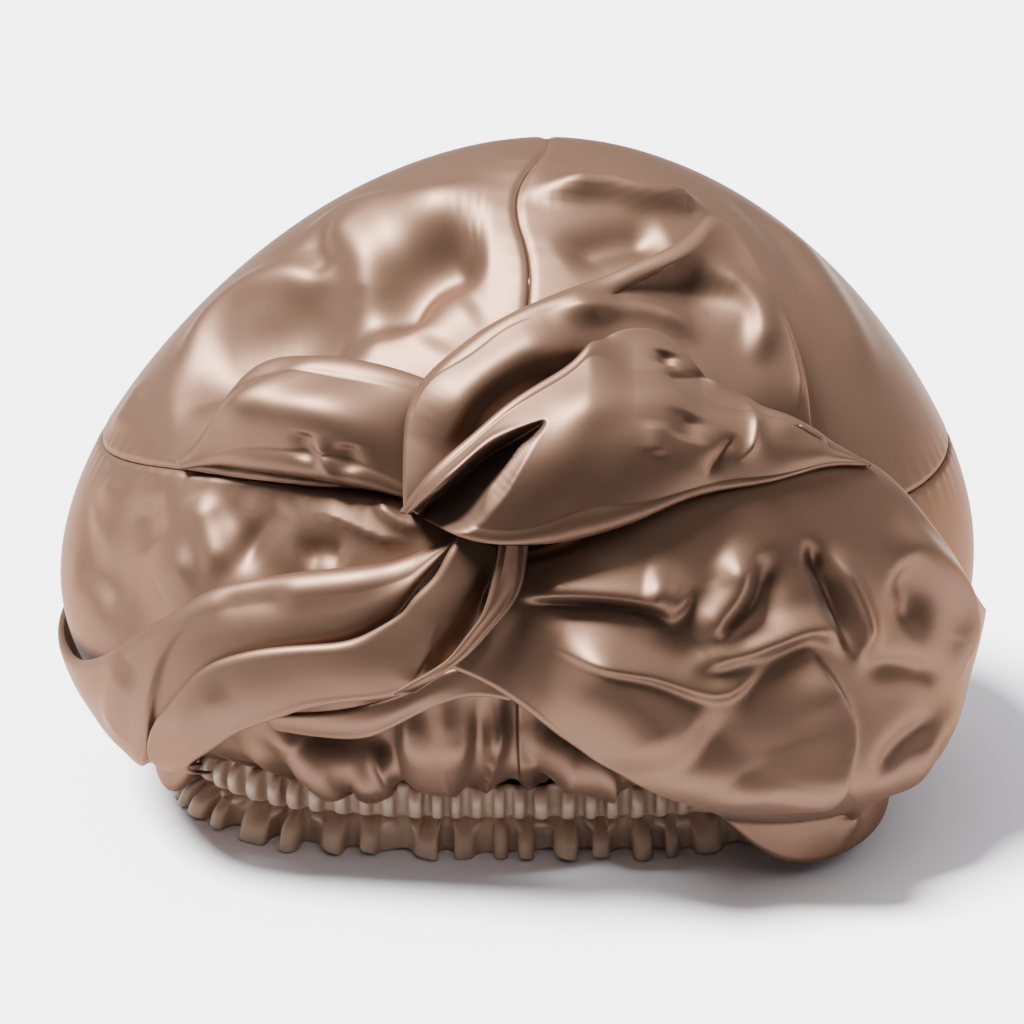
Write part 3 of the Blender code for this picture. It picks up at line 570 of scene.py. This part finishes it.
class SatinLook(bpy.types.PropertyGroup):
    """The satin's colours and gloss"""

    face: bpy.props.FloatVectorProperty(
        name="Face colour", description="The satin seen straight on",
        default=(0.168, 0.098, 0.067), subtype="COLOR",
    )
    shade: bpy.props.FloatVectorProperty(
        name="Shade colour", description="The darker threads of the satin",
        default=(0.116, 0.065, 0.043), subtype="COLOR",
    )
    roughness: bpy.props.FloatProperty(
        name="Roughness", description="How far the satin spreads a highlight",
        default=0.42, subtype="FACTOR",
    )
    metallic: bpy.props.FloatProperty(
        name="Lustre", description="How much of the gloss takes the cloth's own colour",
        default=0.78, subtype="FACTOR",
    )
    # Painted light: the hem's satin is lightened to stand in for the bounce light the hem misses;
    # it is the same cloth as the rest.
    hem_painted_light: bpy.props.FloatProperty(
        name="Hem painted light", description="How much painted light lightens the hem's satin",
        default=1.15,
    )


class StudioSetup(bpy.types.PropertyGroup):
    """The camera, the floor and the lights"""

    lens: bpy.props.FloatProperty(
        name="Lens", description="Focal length in millimetres", default=110.0
    )
    distance: bpy.props.FloatProperty(
        name="Distance", description="From the camera to what it looks at",
        default=1.026, unit="LENGTH",
    )
    elevation: bpy.props.FloatProperty(
        name="Elevation", description="The camera's angle above the floor",
        default=math.radians(20), subtype="ANGLE",
    )
    aim: bpy.props.FloatVectorProperty(
        name="Aim", description="What the camera looks at, from the middle of the dome",
        default=(-0.002, 0.0, 0.087), subtype="XYZ",
    )
    key: bpy.props.FloatProperty(
        name="Key light", description="The light from the upper left", default=21.0
    )
    fill: bpy.props.FloatProperty(
        name="Top light", description="The wide light from above", default=2.4
    )
    air: bpy.props.FloatProperty(
        name="Studio air", description="The light from behind and the sides", default=0.40
    )
    front_air: bpy.props.FloatProperty(
        name="Front air", description="The light from the camera's side", default=0.15
    )
    floor: bpy.props.FloatVectorProperty(
        name="Floor colour", description="The pale floor under the bonnet",
        default=(0.80, 0.79, 0.83), subtype="COLOR",
    )


def spline(knots, values, at):
    """Natural cubic curve through the values at the knots, read at each place."""
    knots = np.asarray(knots, float)
    values = np.asarray(values, float)
    count = len(knots)
    gap = np.diff(knots)
    slope = np.diff(values, axis=0) / gap[:, None]
    matrix = np.eye(count)
    right = np.zeros_like(values)
    for i in range(1, count - 1):
        matrix[i, i - 1 : i + 2] = gap[i - 1], 2 * (gap[i - 1] + gap[i]), gap[i]
        right[i] = 6 * (slope[i] - slope[i - 1])
    bend = np.linalg.solve(matrix, right)
    at = np.asarray(at, float)
    k = np.clip(np.searchsorted(knots, at) - 1, 0, count - 2)
    span = gap[k]
    a = ((knots[k + 1] - at) / span)[..., None]
    b = ((at - knots[k]) / span)[..., None]
    curve = (a**3 - a) * bend[k] + (b**3 - b) * bend[k + 1]
    return a * values[k] + b * values[k + 1] + curve * (span * span / 6)[..., None]


def read_table(table, at):
    """A two-column table read at each place, with a smooth curve between its rows."""
    table = np.array(table, float)
    return spline(table[:, 0], table[:, 1:], at)[..., 0]


def smooth_step(share):
    """A share from 0 to 1 that starts and ends gently."""
    share = np.clip(share, 0, 1)
    return share * share * (3 - 2 * share)


def lengths_along(points):
    """How far each point of a line is from its start, along the line."""
    steps = np.linalg.norm(np.diff(points, axis=0), axis=1)
    return np.concatenate([[0], np.cumsum(steps)])


def nearest_on(curve, points):
    """Where each point is nearest to a curve of short steps.

    Gives the number of the step, the share of it up to there, the step itself, the way from
    there to the point and the length of that way.
    """
    step = np.diff(curve, axis=0)
    offset = points[:, None] - curve[:-1]
    share = np.clip((offset * step).sum(-1) / (step * step).sum(-1), 0, 1)
    away = offset - share[..., None] * step
    distance = np.linalg.norm(away, axis=-1)
    k = distance.argmin(1)
    each = np.arange(len(points))
    return k, share[each, k], step[k], away[each, k], distance[each, k]


def dome_middle():
    """Where the dome's middle stands, from the outermost points of the CAD's side panels."""
    sizes = bpy.context.scene.bonnet_sizes
    low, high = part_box("side_left")
    return np.array([low[0] + sizes.half_width, high[1] - sizes.half_depth, 0])


def hem_height():
    """The height of the seam between the elastic's casing and the side panels."""
    sizes = bpy.context.scene.bonnet_sizes
    return sizes.casing + sizes.frill


def dome(turn, rise):
    """The point of the plain dome at a turn and a rise."""
    sizes = bpy.context.scene.bonnet_sizes
    turn, rise = np.broadcast_arrays(np.asarray(turn, float), np.asarray(rise, float))
    levels = np.array(LEVELS)
    rows = spline(levels[:, 0], levels[:, 1:], np.maximum(rise, 0))
    height, wide, front, back, lean, square = np.moveaxis(rows, -1, 0)
    side = np.sin(np.radians(turn))
    ahead = np.cos(np.radians(turn))
    round_out = (np.abs(side) ** square + np.abs(ahead) ** square) ** (-1 / square)
    deep = np.where(ahead > 0, front, back)
    below = hem_height() * np.minimum(rise, 0) / -FLOOR_RISE
    x = sizes.half_width * (wide * side * round_out + lean)
    y = -sizes.half_depth * deep * ahead * round_out
    z = hem_height() + (sizes.height - hem_height()) * height + below
    return np.stack([x, y, z], -1) + dome_middle()


def outward(turn, rise):
    """Away from the dome, and never downwards."""
    along = dome(turn + TURN_STEP, rise) - dome(turn - TURN_STEP, rise)
    low = np.clip(rise - RISE_STEP, FLOOR_RISE, 1)
    high = np.clip(rise + RISE_STEP, FLOOR_RISE, 1)
    away = np.cross(along, dome(turn, high) - dome(turn, low))
    away[..., 2] = np.maximum(away[..., 2], 0)
    length = np.linalg.norm(away, axis=-1, keepdims=True)
    return np.where(length > TINY, away / np.maximum(length, TINY), np.array([0, 0, 1.0]))


def lifted(turn, rise, lift):
    """The point that stands off the dome by a lift in metres."""
    return dome(turn, rise) + outward(turn, rise) * np.asarray(lift)[..., None]


def cap_lift(turn, rise):
    """The lift of the cap's own dents and folds, each along its line."""
    points = dome(turn, rise)
    total = np.zeros(points.shape[:-1])
    for from_turn, from_rise, to_turn, to_rise, width, height in CAP_FOLDS:
        start = dome(from_turn, from_rise)
        line = dome(to_turn, to_rise) - start
        share = np.clip(((points - start) @ line) / (line @ line), 0, 1)
        away = np.linalg.norm(points - start - share[..., None] * line, axis=-1)
        total += height * FOLD * np.exp(-((away / (width * FOLD)) ** 2))
    return total


def stray(turn):
    """How far the gathers stray from even spacing, in radians, the same for all of them."""
    angle = np.radians(turn)
    return GATHER_STRAY * (
        np.sin(5 * angle + 1.0) + 0.7 * np.sin(13 * angle + 2.0) + 0.5 * np.sin(29 * angle)
    )


def gather_lift(turn, rise):
    """The waves where the side panels are drawn in to the elastic."""
    total = 0
    for count, top, height in GATHERS:
        fade = np.clip(1 - rise / top, 0, 1) ** GATHER_FADE
        wave = np.sin(np.radians(turn) * count + stray(turn + count) * count / PLEATS)
        total = total + height * FOLD * fade * wave
    return total


def photo_axes():
    """The eye, and the camera's right, up and back, as the photo was taken."""
    studio = bpy.context.scene.bonnet_studio
    back = np.array([0, -math.cos(studio.elevation), math.sin(studio.elevation)])
    right = np.array([1.0, 0, 0])
    aim = dome_middle() + np.array(studio.aim)
    return aim + back * studio.distance, right, np.cross(back, right), back


def photo_place(points):
    """Where points show in the photo, in its pixels from the upper left."""
    eye, right, up, back = photo_axes()
    studio = bpy.context.scene.bonnet_studio
    sight = points - eye
    scale = studio.lens / FILM * PHOTO_SIZE / -(sight @ back)
    middle = PHOTO_SIZE / 2
    return np.stack([middle + scale * (sight @ right), middle - scale * (sight @ up)], -1)


def path_on(path, points, seen):
    """A smooth curve on the cloth through the places that a path names."""
    knots = []
    for x, y in path:
        away = np.hypot(seen[:, 0] - x, seen[:, 1] - y)
        near = np.argsort(away)[:NEAREST]
        share = 1 / (away[near] + EVENED)
        knots.append((points[near] * share[:, None]).sum(0) / share.sum())
    knots = np.array(knots)
    at = lengths_along(knots)
    return spline(at, knots, np.linspace(0, at[-1], PATH_STEPS + 1))


def fold_heights(points, normals, folds):
    """How far the folds push the cloth out at each point, in metres."""
    heights = np.zeros(len(points))
    if not folds:
        return heights
    hidden = np.einsum("ij,ij->i", normals, photo_axes()[0] - points) < 0
    seen = photo_place(points) + HIDDEN * hidden[:, None]
    for path, left, right, height, edge in folds:
        curve = path_on(path, points, seen)
        reach = FOLD_REACH * max(left, right) * MM * (2 if edge < ROUND else 1)
        inside = (points > curve.min(0) - reach) & (points < curve.max(0) + reach)
        near = np.flatnonzero(inside.all(1))
        k, share, step, away, distance = nearest_on(curve, points[near])
        along = (k + share) / PATH_STEPS
        hand = (np.cross(normals[near], step) * away).sum(-1)
        width = np.where(hand > 0, left, right) * MM
        fade = smooth_step(np.minimum(along, 1 - along) / PATH_FADE)
        heights[near] += height * MM * fade * np.exp(-((distance / width) ** edge))
    return heights


def pocket_depths(points):
    """How deep the pocket is in the twist puff at each point, in metres."""
    table = np.array(POCKET, float)
    at = lengths_along(table[:, :2])
    rows = spline(at, table, np.linspace(0, at[-1], PATH_STEPS + 1))
    k, share, step, away, distance = nearest_on(rows[:, :2], photo_place(points))
    beside = rows[k] + share[:, None] * (rows[k + 1] - rows[k])
    above, below, depth = beside[:, 2:].T
    under = step[:, 0] * away[:, 1] - step[:, 1] * away[:, 0] < 0
    slope = 1 - smooth_step(distance / np.where(under, below, above))
    return depth * MM * slope


def puff_place(u, v):
    """The place function of the twist puff with its pocket."""
    points = section_place(TWIST_PUFF, (0, 1), SOFT_TOP)(u, v)
    sight = points - photo_axes()[0]
    sight /= np.linalg.norm(sight, axis=-1, keepdims=True)
    return points + sight * pocket_depths(points)[:, None]


def grid_coordinates(mesh):
    """The shares along and across of every vertex of a new grid."""
    flat = np.empty(len(mesh.vertices) * 3)
    mesh.vertices.foreach_get("co", flat)
    flat = flat.reshape(-1, 3)
    return (flat[:, 0] + 1) / 2, (flat[:, 1] + 1) / 2


def cloth_mesh(name, grid, place, folds=()):
    """A fine grid whose vertices go where the place function says and then over the folds."""
    work = bmesh.new()
    along, across = grid
    detail = 1
    bmesh.ops.create_grid(
        work, x_segments=along // detail, y_segments=across // detail, size=1, calc_uvs=True
    )
    mesh = bpy.data.meshes.new(name)
    work.to_mesh(mesh)
    work.free()
    points = place(*grid_coordinates(mesh))
    mesh.vertices.foreach_set("co", points.ravel())
    mesh.update()
    faces_out(mesh)
    flat = np.empty(len(mesh.vertices) * 3)
    mesh.vertex_normals.foreach_get("vector", flat)
    normals = flat.reshape(-1, 3)
    points = points + normals * fold_heights(points, normals, folds)[:, None]
    mesh.vertices.foreach_set("co", points.ravel())
    mesh.update()
    return mesh


def faces_out(mesh):
    """Turns the faces of an open cloth to the outside of the bonnet."""
    middle = dome_middle() + np.array([0, 0, bpy.context.scene.bonnet_sizes.height / 2])
    outs = [(np.array(face.center) - middle) @ np.array(face.normal) for face in mesh.polygons]
    if sum(outs) < 0:
        mesh.flip_normals()


def add_cloth(mesh, nodes):
    """The cloth piece of a mesh. It rides on the bonnet and stands for its CAD nodes."""
    piece = bpy.data.objects.new(mesh.name, mesh)
    bpy.context.scene.collection.objects.link(piece)
    # The hem's satin is a lightened copy: painted light in place of the bounce light it misses.
    if "elastic_hem" in nodes:
        piece.data.materials.append(satin("hem_satin", bpy.context.scene.satin_look.hem_painted_light))
    else:
        piece.data.materials.append(satin("brown_satin", 1))
    piece.data.shade_smooth()
    wall = piece.modifiers.new("cloth", "SOLIDIFY")
    wall.thickness = bpy.context.scene.bonnet_sizes.cloth
    wall.offset = -1
    wall.use_even_offset = False
    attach(piece, "root")
    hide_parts(*nodes)
    return piece


def rolled_edge(v, depth, span):
    """How far in from its edge, as a share of the section, and how far down a rolled edge is."""
    bend = -ROLL_UNDER + (math.pi / 2 + ROLL_UNDER) * np.clip(v / ROLL_SHARE, 0, 1)
    reach = np.minimum(ROLL_WIDTH * depth * FOLD / span, WIDEST_ROLL)
    down = depth * (1 - np.sin(bend)) / (1 + math.sin(ROLL_UNDER))
    return reach * (1 - np.cos(bend)), down


def section_place(rows, hang, soft_top=None):
    """The place function of a wrap that is lofted through its sections.

    Between its edges the lift changes within the two shares of hang, which is late and sudden
    on a wrap that falls to the floor. The first edge runs out softly between the shares of
    soft_top.
    """
    rows = np.array(rows, float)
    turn_a, rise_a, _, _, turn_b, rise_b, *_ = rows.T
    at = lengths_along(dome((turn_a + turn_b) / 2, (rise_a + rise_b) / 2))
    knots = at / at[-1]

    def place(u, v):
        row = np.moveaxis(spline(knots, rows, u), -1, 0)
        turn_a, rise_a, lift_a, seat_a, turn_b, rise_b, lift_b, seat_b, puff = row
        span = np.linalg.norm(dome(turn_a, rise_a) - dome(turn_b, rise_b), axis=-1)
        middle = np.clip((v - ROLL_SHARE) / (1 - 2 * ROLL_SHARE), 0, 1)
        inset_a, down_a = rolled_edge(v, lift_a - seat_a, span)
        inset_b, down_b = rolled_edge(1 - v, lift_b - seat_b, span)
        flat_a = rolled_edge(ROLL_SHARE, lift_a - seat_a, span)[0]
        flat_b = rolled_edge(ROLL_SHARE, lift_b - seat_b, span)[0]
        if soft_top:
            soft = smooth_step((u - soft_top[0]) / (soft_top[1] - soft_top[0]))
            soft = soft * smooth_step((soft_top[3] - u) / (soft_top[3] - soft_top[2]))
            flat_a = flat_a + soft * (ROLL_SHARE - flat_a)
            inset_a = inset_a + soft * (v - inset_a)
            slope = 1 - smooth_step(v / SOFT_WIDTH)
            down_a = down_a + soft * ((lift_a - seat_a) * slope - down_a)
        share = flat_a + (1 - flat_b - flat_a) * middle
        share = np.where(v < ROLL_SHARE, inset_a, share)
        share = np.where(v > 1 - ROLL_SHARE, 1 - inset_b, share)
        low, high = hang
        fall = np.clip((middle - low) / (high - low), 0, 1)
        if low > 0:
            fall = smooth_step(fall)
        lift = lift_a + (lift_b - lift_a) * fall + puff * np.sin(math.pi * middle)
        turn = turn_a + (turn_b - turn_a) * share
        rise = rise_a + (rise_b - rise_a) * share
        return lifted(turn, rise, FOLD * (lift - down_a - down_b))

    return place


def seam_lift(share, turn):
    """The groove and the puckers beside a seam, at a share of the panel's height from it."""
    away = share * PANEL_HEIGHT
    pucker = PUCKER_HEIGHT * np.sin(np.radians(turn) * PLEATS + stray(3 * turn))
    groove = SEAM_DIP * np.exp(-((away / SEAM_WIDTH) ** 2))
    return pucker * np.exp(-away / PUCKER_WIDTH) * (1 - np.exp(-away / SEAM_WIDTH)) - groove


def seam_step():
    """Half the gap at a seam, as a share of the rise."""
    return GAP / bpy.context.scene.bonnet_sizes.height


def denser_ends(share):
    """Shares that crowd towards both ends, where the seams are."""
    return share - DENSER_ENDS * np.sin(2 * math.pi * share)


def crown_place(side):
    """The place function of half the crown. The side is -1 or 1."""

    def place(u, v):
        v = denser_ends(v)
        seam = read_table(CROWN_SEAM, side * 180 * u) + seam_step()
        rise = seam + (1 - seam) * v
        front = read_table(TOP_SEAM, rise)
        turn = front + (side * 180 - front) * u
        rise = np.where(v == 0, read_table(CROWN_SEAM, turn) + seam_step(), rise)
        fade = np.clip((1 - rise) / TOP_FADE, 0, 1)
        lift = cap_lift(turn, rise) * fade + seam_lift(v, turn)
        for across in (u, 1 - u):
            away = across * CROWN_LENGTH * (1 - v)
            lift = lift + seam_lift(away, RISE_AS_TURN * rise) * fade
        points = lifted(turn, rise, lift)
        points[..., 0] += side * GAP / 2
        return points

    return place


def side_place(side):
    """The place function of the side panel below the crown. The side is -1 or 1."""

    def place(u, v):
        v = denser_ends(v)
        turn = side * 180 * u
        top = read_table(CROWN_SEAM, turn) - seam_step()
        low = seam_step()
        rise = low + (top - low) * v
        lift = cap_lift(turn, rise) + gather_lift(turn, rise) + seam_lift(1 - v, turn)
        points = lifted(turn, rise, lift)
        points[..., 0] += side * GAP / 2
        return points

    return place


def hem_place(u, v):
    """The place function of the elastic's casing and the frill, all the way round."""
    sizes = bpy.context.scene.bonnet_sizes
    section = np.array(HEM_SECTION)
    at = np.linspace(0, 1, len(section))
    casing, frill, casing_out, frill_out, gather = np.moveaxis(spline(at, section, v), -1, 0)
    turn = 360 * u
    angle = np.radians(turn)
    further = stray(turn + RUFFLE_TURN)
    pleat = angle * PLEATS + stray(turn)
    ruffle = angle * RUFFLES + RUFFLE_STRAY * further
    (slow, slow_share), (quick, quick_share) = SWELLS
    size = 1 + slow_share * np.sin(slow * angle + further) + quick_share * np.sin(quick * angle)
    lower = smooth_step(RUFFLE_START * frill_out)
    out = casing_out * CASING_PUFF + frill_out * FRILL_FLARE
    out = out + gather * size * PLEAT_OUT * (1 - PLEAT_FADE * lower) * np.sin(pleat)
    out = out + lower * size * RUFFLE_OUT * np.sin(ruffle)
    points = lifted(turn, np.zeros_like(turn), out)
    across = np.stack([np.cos(angle), np.sin(angle), 0 * turn], -1)
    aside = gather * size * PLEAT_ASIDE * (1 - lower) * np.sin(2 * pleat)
    aside = -aside - lower * size * RUFFLE_ASIDE * np.sin(2 * ruffle)
    points += across * aside[..., None]
    rises = (0.5 + 0.5 * np.sin(ruffle + 1)) * (0.5 + 0.5 * np.sin(FRILL_RISES * angle))
    hung = FRILL_RISE * (1 - frill) * rises
    points[..., 2] = casing * (sizes.casing - GAP) + frill * sizes.frill + hung
    return points


def weave_group():
    """The shared node group of the satin's weave: colour, roughness and height."""
    found = bpy.data.node_groups.get("satin_weave")
    if found:
        return found
    group = bpy.data.node_groups.new("satin_weave", "ShaderNodeTree")
    face = group.interface
    for name, kind in (("Face", "NodeSocketColor"), ("Shade", "NodeSocketColor")):
        face.new_socket(name, in_out="INPUT", socket_type=kind)
    for name, value in (("Roughness", 0.4), ("Thread Scale", 4500.0), ("Crease Scale", 38.0)):
        socket = face.new_socket(name, in_out="INPUT", socket_type="NodeSocketFloat")
        socket.default_value = value
    face.new_socket("Vector", in_out="INPUT", socket_type="NodeSocketVector")
    face.new_socket("Color", in_out="OUTPUT", socket_type="NodeSocketColor")
    for name in ("Roughness", "Weave Height", "Crease Height"):
        face.new_socket(name, in_out="OUTPUT", socket_type="NodeSocketFloat")
    nodes, links = group.nodes, group.links
    source = nodes.new("NodeGroupInput")
    sink = nodes.new("NodeGroupOutput")
    threads, creases = nodes.new("ShaderNodeTexNoise"), nodes.new("ShaderNodeTexNoise")
    for noise, scale, detail, roughness in (
        (threads, "Thread Scale", 2.0, 0.5),
        (creases, "Crease Scale", 1.5, 0.45),
    ):
        noise.inputs["Detail"].default_value = detail
        noise.inputs["Roughness"].default_value = roughness
        links.new(source.outputs["Vector"], noise.inputs["Vector"])
        links.new(source.outputs[scale], noise.inputs["Scale"])
    mix = nodes.new("ShaderNodeMix")
    mix.data_type = "RGBA"
    links.new(threads.outputs["Fac"], mix.inputs["Factor"])
    links.new(source.outputs["Face"], mix.inputs["A"])
    links.new(source.outputs["Shade"], mix.inputs["B"])
    links.new(mix.outputs["Result"], sink.inputs["Color"])
    rough = nodes.new("ShaderNodeMath")
    rough.operation = "MULTIPLY_ADD"
    rough.inputs[1].default_value = 0.08
    links.new(threads.outputs["Fac"], rough.inputs[0])
    links.new(source.outputs["Roughness"], rough.inputs[2])
    links.new(rough.outputs["Value"], sink.inputs["Roughness"])
    links.new(threads.outputs["Fac"], sink.inputs["Weave Height"])
    links.new(creases.outputs["Fac"], sink.inputs["Crease Height"])
    return group


def satin(name, lightness):
    """One piece of the bonnet's satin. The lightness multiplies its colours, and above 1 it is
    painted light, as on the hem.
    """
    found = bpy.data.materials.get(name)
    if found:
        return found
    look = bpy.context.scene.satin_look
    material = bpy.data.materials.new(name)
    material.use_nodes = True
    nodes, links = material.node_tree.nodes, material.node_tree.links
    shader = nodes["Principled BSDF"]
    shader.inputs["Metallic"].default_value = look.metallic
    shader.inputs["Specular IOR Level"].default_value = 0.2
    shader.inputs["Specular Tint"].default_value = (0.62, 0.42, 0.32, 1)
    shader.inputs["Sheen Weight"].default_value = 0.04
    shader.inputs["Sheen Roughness"].default_value = 0.4
    where = nodes.new("ShaderNodeTexCoord")
    weave = nodes.new("ShaderNodeGroup")
    weave.node_tree = weave_group()
    # Painted light: a lightness above 1 lightens the face and shade colours both.
    weave.inputs["Face"].default_value = (*(lightness * part for part in look.face), 1)
    weave.inputs["Shade"].default_value = (*(lightness * part for part in look.shade), 1)
    weave.inputs["Roughness"].default_value = look.roughness
    links.new(where.outputs["Object"], weave.inputs["Vector"])
    links.new(weave.outputs["Color"], shader.inputs["Base Color"])
    links.new(weave.outputs["Roughness"], shader.inputs["Roughness"])
    fine, soft = nodes.new("ShaderNodeBump"), nodes.new("ShaderNodeBump")
    for bump, height, distance in (
        (fine, "Weave Height", 0.00003),
        (soft, "Crease Height", 0.0005),
    ):
        bump.inputs["Strength"].default_value = 1.0
        bump.inputs["Distance"].default_value = distance
        links.new(weave.outputs[height], bump.inputs["Height"])
    links.new(soft.outputs["Normal"], fine.inputs["Normal"])
    links.new(fine.outputs["Normal"], shader.inputs["Normal"])
    return material


class SLEEPBONNET_OT_cap(bpy.types.Operator):
    """Models the crown halves and the side panels"""

    bl_idname = "sleepbonnet.cap"
    bl_label = "Cap"

    def execute(self, context):
        for name, side, folds in (
            ("crown_left", -1, CROWN_LEFT_FOLDS),
            ("crown_right", 1, CROWN_RIGHT_FOLDS),
        ):
            mesh = cloth_mesh(name + "_cloth", CROWN_GRID, crown_place(side), folds)
            add_cloth(mesh, [name])
        for name, side, folds in (
            ("side_left", -1, SIDE_LEFT_FOLDS),
            ("side_right", 1, SIDE_RIGHT_FOLDS),
        ):
            mesh = cloth_mesh(name + "_cloth", SIDE_GRID, side_place(side), folds)
            add_cloth(mesh, [name])
        return {"FINISHED"}


class SLEEPBONNET_OT_hem(bpy.types.Operator):
    """Models the elastic's casing with the frill below it"""

    bl_idname = "sleepbonnet.hem"
    bl_label = "Elastic hem"

    def execute(self, context):
        around = PLEATS * HEM_COLUMNS_PER_PLEAT
        mesh = cloth_mesh("hem_cloth", (around, HEM_ROWS), hem_place)
        work = bmesh.new()
        work.from_mesh(mesh)
        bmesh.ops.remove_doubles(work, verts=work.verts, dist=WELD)
        work.to_mesh(mesh)
        work.free()
        hem = add_cloth(mesh, ["elastic_hem"])
        return {"FINISHED"}


class SLEEPBONNET_OT_wraps(bpy.types.Operator):
    """Models the wraps of the front"""

    bl_idname = "sleepbonnet.wraps"
    bl_label = "Wraps"

    def execute(self, context):
        for name, rows, grid, hang, folds, flat in WRAPS:
            mesh = cloth_mesh(name + "_cloth", grid, section_place(rows, hang), folds)
            add_cloth(mesh, [name])
        mesh = cloth_mesh("twist_cloth", TWIST_GRID, puff_place, PUFF_FOLDS)
        add_cloth(mesh, ["twist_band", "twist_puff"])
        return {"FINISHED"}


class SLEEPBONNET_OT_studio(bpy.types.Operator):
    """Sets the floor, the lights and the camera"""

    bl_idname = "sleepbonnet.studio"
    bl_label = "Studio"

    def execute(self, context):
        studio = context.scene.bonnet_studio
        work = bmesh.new()
        bmesh.ops.create_grid(work, x_segments=1, y_segments=1, size=FLOOR_SIZE)
        for corner in work.verts:
            corner.co.y = max(corner.co.y, FLOOR_FRONT)
        mesh = bpy.data.meshes.new("floor")
        work.to_mesh(mesh)
        work.free()
        floor = bpy.data.objects.new("floor", mesh)
        context.scene.collection.objects.link(floor)
        paper = bpy.data.materials.new("pale_paper")
        paper.use_nodes = True
        shader = paper.node_tree.nodes["Principled BSDF"]
        shader.inputs["Base Color"].default_value = (*studio.floor, 1)
        shader.inputs["Roughness"].default_value = 0.9
        shader.inputs["Specular IOR Level"].default_value = 0.1
        mesh.materials.append(paper)
        world = bpy.data.worlds.new("studio_air")
        world.use_nodes = True
        nodes, links = world.node_tree.nodes, world.node_tree.links
        nodes["Background"].inputs["Color"].default_value = (0.93, 0.94, 1.0, 1)
        where = nodes.new("ShaderNodeTexCoord")
        parts = nodes.new("ShaderNodeSeparateXYZ")
        links.new(where.outputs["Generated"], parts.inputs["Vector"])
        ahead = nodes.new("ShaderNodeMapRange")
        ahead.inputs["From Min"].default_value = AIR_AHEAD
        ahead.inputs["From Max"].default_value = AIR_BEHIND
        ahead.inputs["To Min"].default_value = studio.front_air
        ahead.inputs["To Max"].default_value = studio.air
        links.new(parts.outputs["Y"], ahead.inputs["Value"])
        links.new(ahead.outputs["Result"], nodes["Background"].inputs["Strength"])
        context.scene.world = world
        for name, (place, angle), strength in (
            ("key_light", KEY_LIGHT, studio.key),
            ("top_light", TOP_LIGHT, studio.fill),
        ):
            light = bpy.data.lights.new(name, "SUN")
            light.angle = math.radians(angle)
            light.energy = strength
            lamp = bpy.data.objects.new(name, light)
            context.scene.collection.objects.link(lamp)
            lamp.rotation_euler = Vector(place).to_track_quat("Z", "Y").to_euler()
        eye, _, _, back = photo_axes()
        camera = bpy.data.objects.new("camera", bpy.data.cameras.new("camera"))
        context.scene.collection.objects.link(camera)
        camera.data.lens = studio.lens
        camera.location = eye
        camera.rotation_euler = Vector(back).to_track_quat("Z", "Y").to_euler()
        context.scene.camera = camera
        return {"FINISHED"}


class SLEEPBONNET_PT_panel(bpy.types.Panel):
    """Lists the bonnet's sizes, colours and pieces"""

    bl_idname = "SLEEPBONNET_PT_panel"
    bl_label = "Sleep bonnet"
    bl_space_type = "VIEW_3D"
    bl_region_type = "UI"
    bl_category = "Sleep bonnet"

    def draw(self, context):
        for group in SETTINGS:
            values = getattr(context.scene, group)
            box = self.layout.box()
            for name in values.__annotations__:
                box.prop(values, name)
        for operator in OPERATORS:
            self.layout.operator(operator.bl_idname)


OPERATORS = (
    SLEEPBONNET_OT_cap,
    SLEEPBONNET_OT_hem,
    SLEEPBONNET_OT_wraps,
    SLEEPBONNET_OT_studio,
)
SETTINGS = {
    "bonnet_sizes": BonnetSizes,
    "satin_look": SatinLook,
    "bonnet_studio": StudioSetup,
}
CLASSES = (*SETTINGS.values(), *OPERATORS, SLEEPBONNET_PT_panel)


def register():
    for item in CLASSES:
        bpy.utils.register_class(item)
    for name, group in SETTINGS.items():
        setattr(bpy.types.Scene, name, bpy.props.PointerProperty(type=group))


def unregister():
    for name in SETTINGS:
        delattr(bpy.types.Scene, name)
    for item in reversed(CLASSES):
        bpy.utils.unregister_class(item)


def main():
    register()
    bpy.ops.sleepbonnet.cap()
    bpy.ops.sleepbonnet.hem()
    bpy.ops.sleepbonnet.wraps()
    bpy.ops.sleepbonnet.studio()


if __name__ == "__main__":
    main()
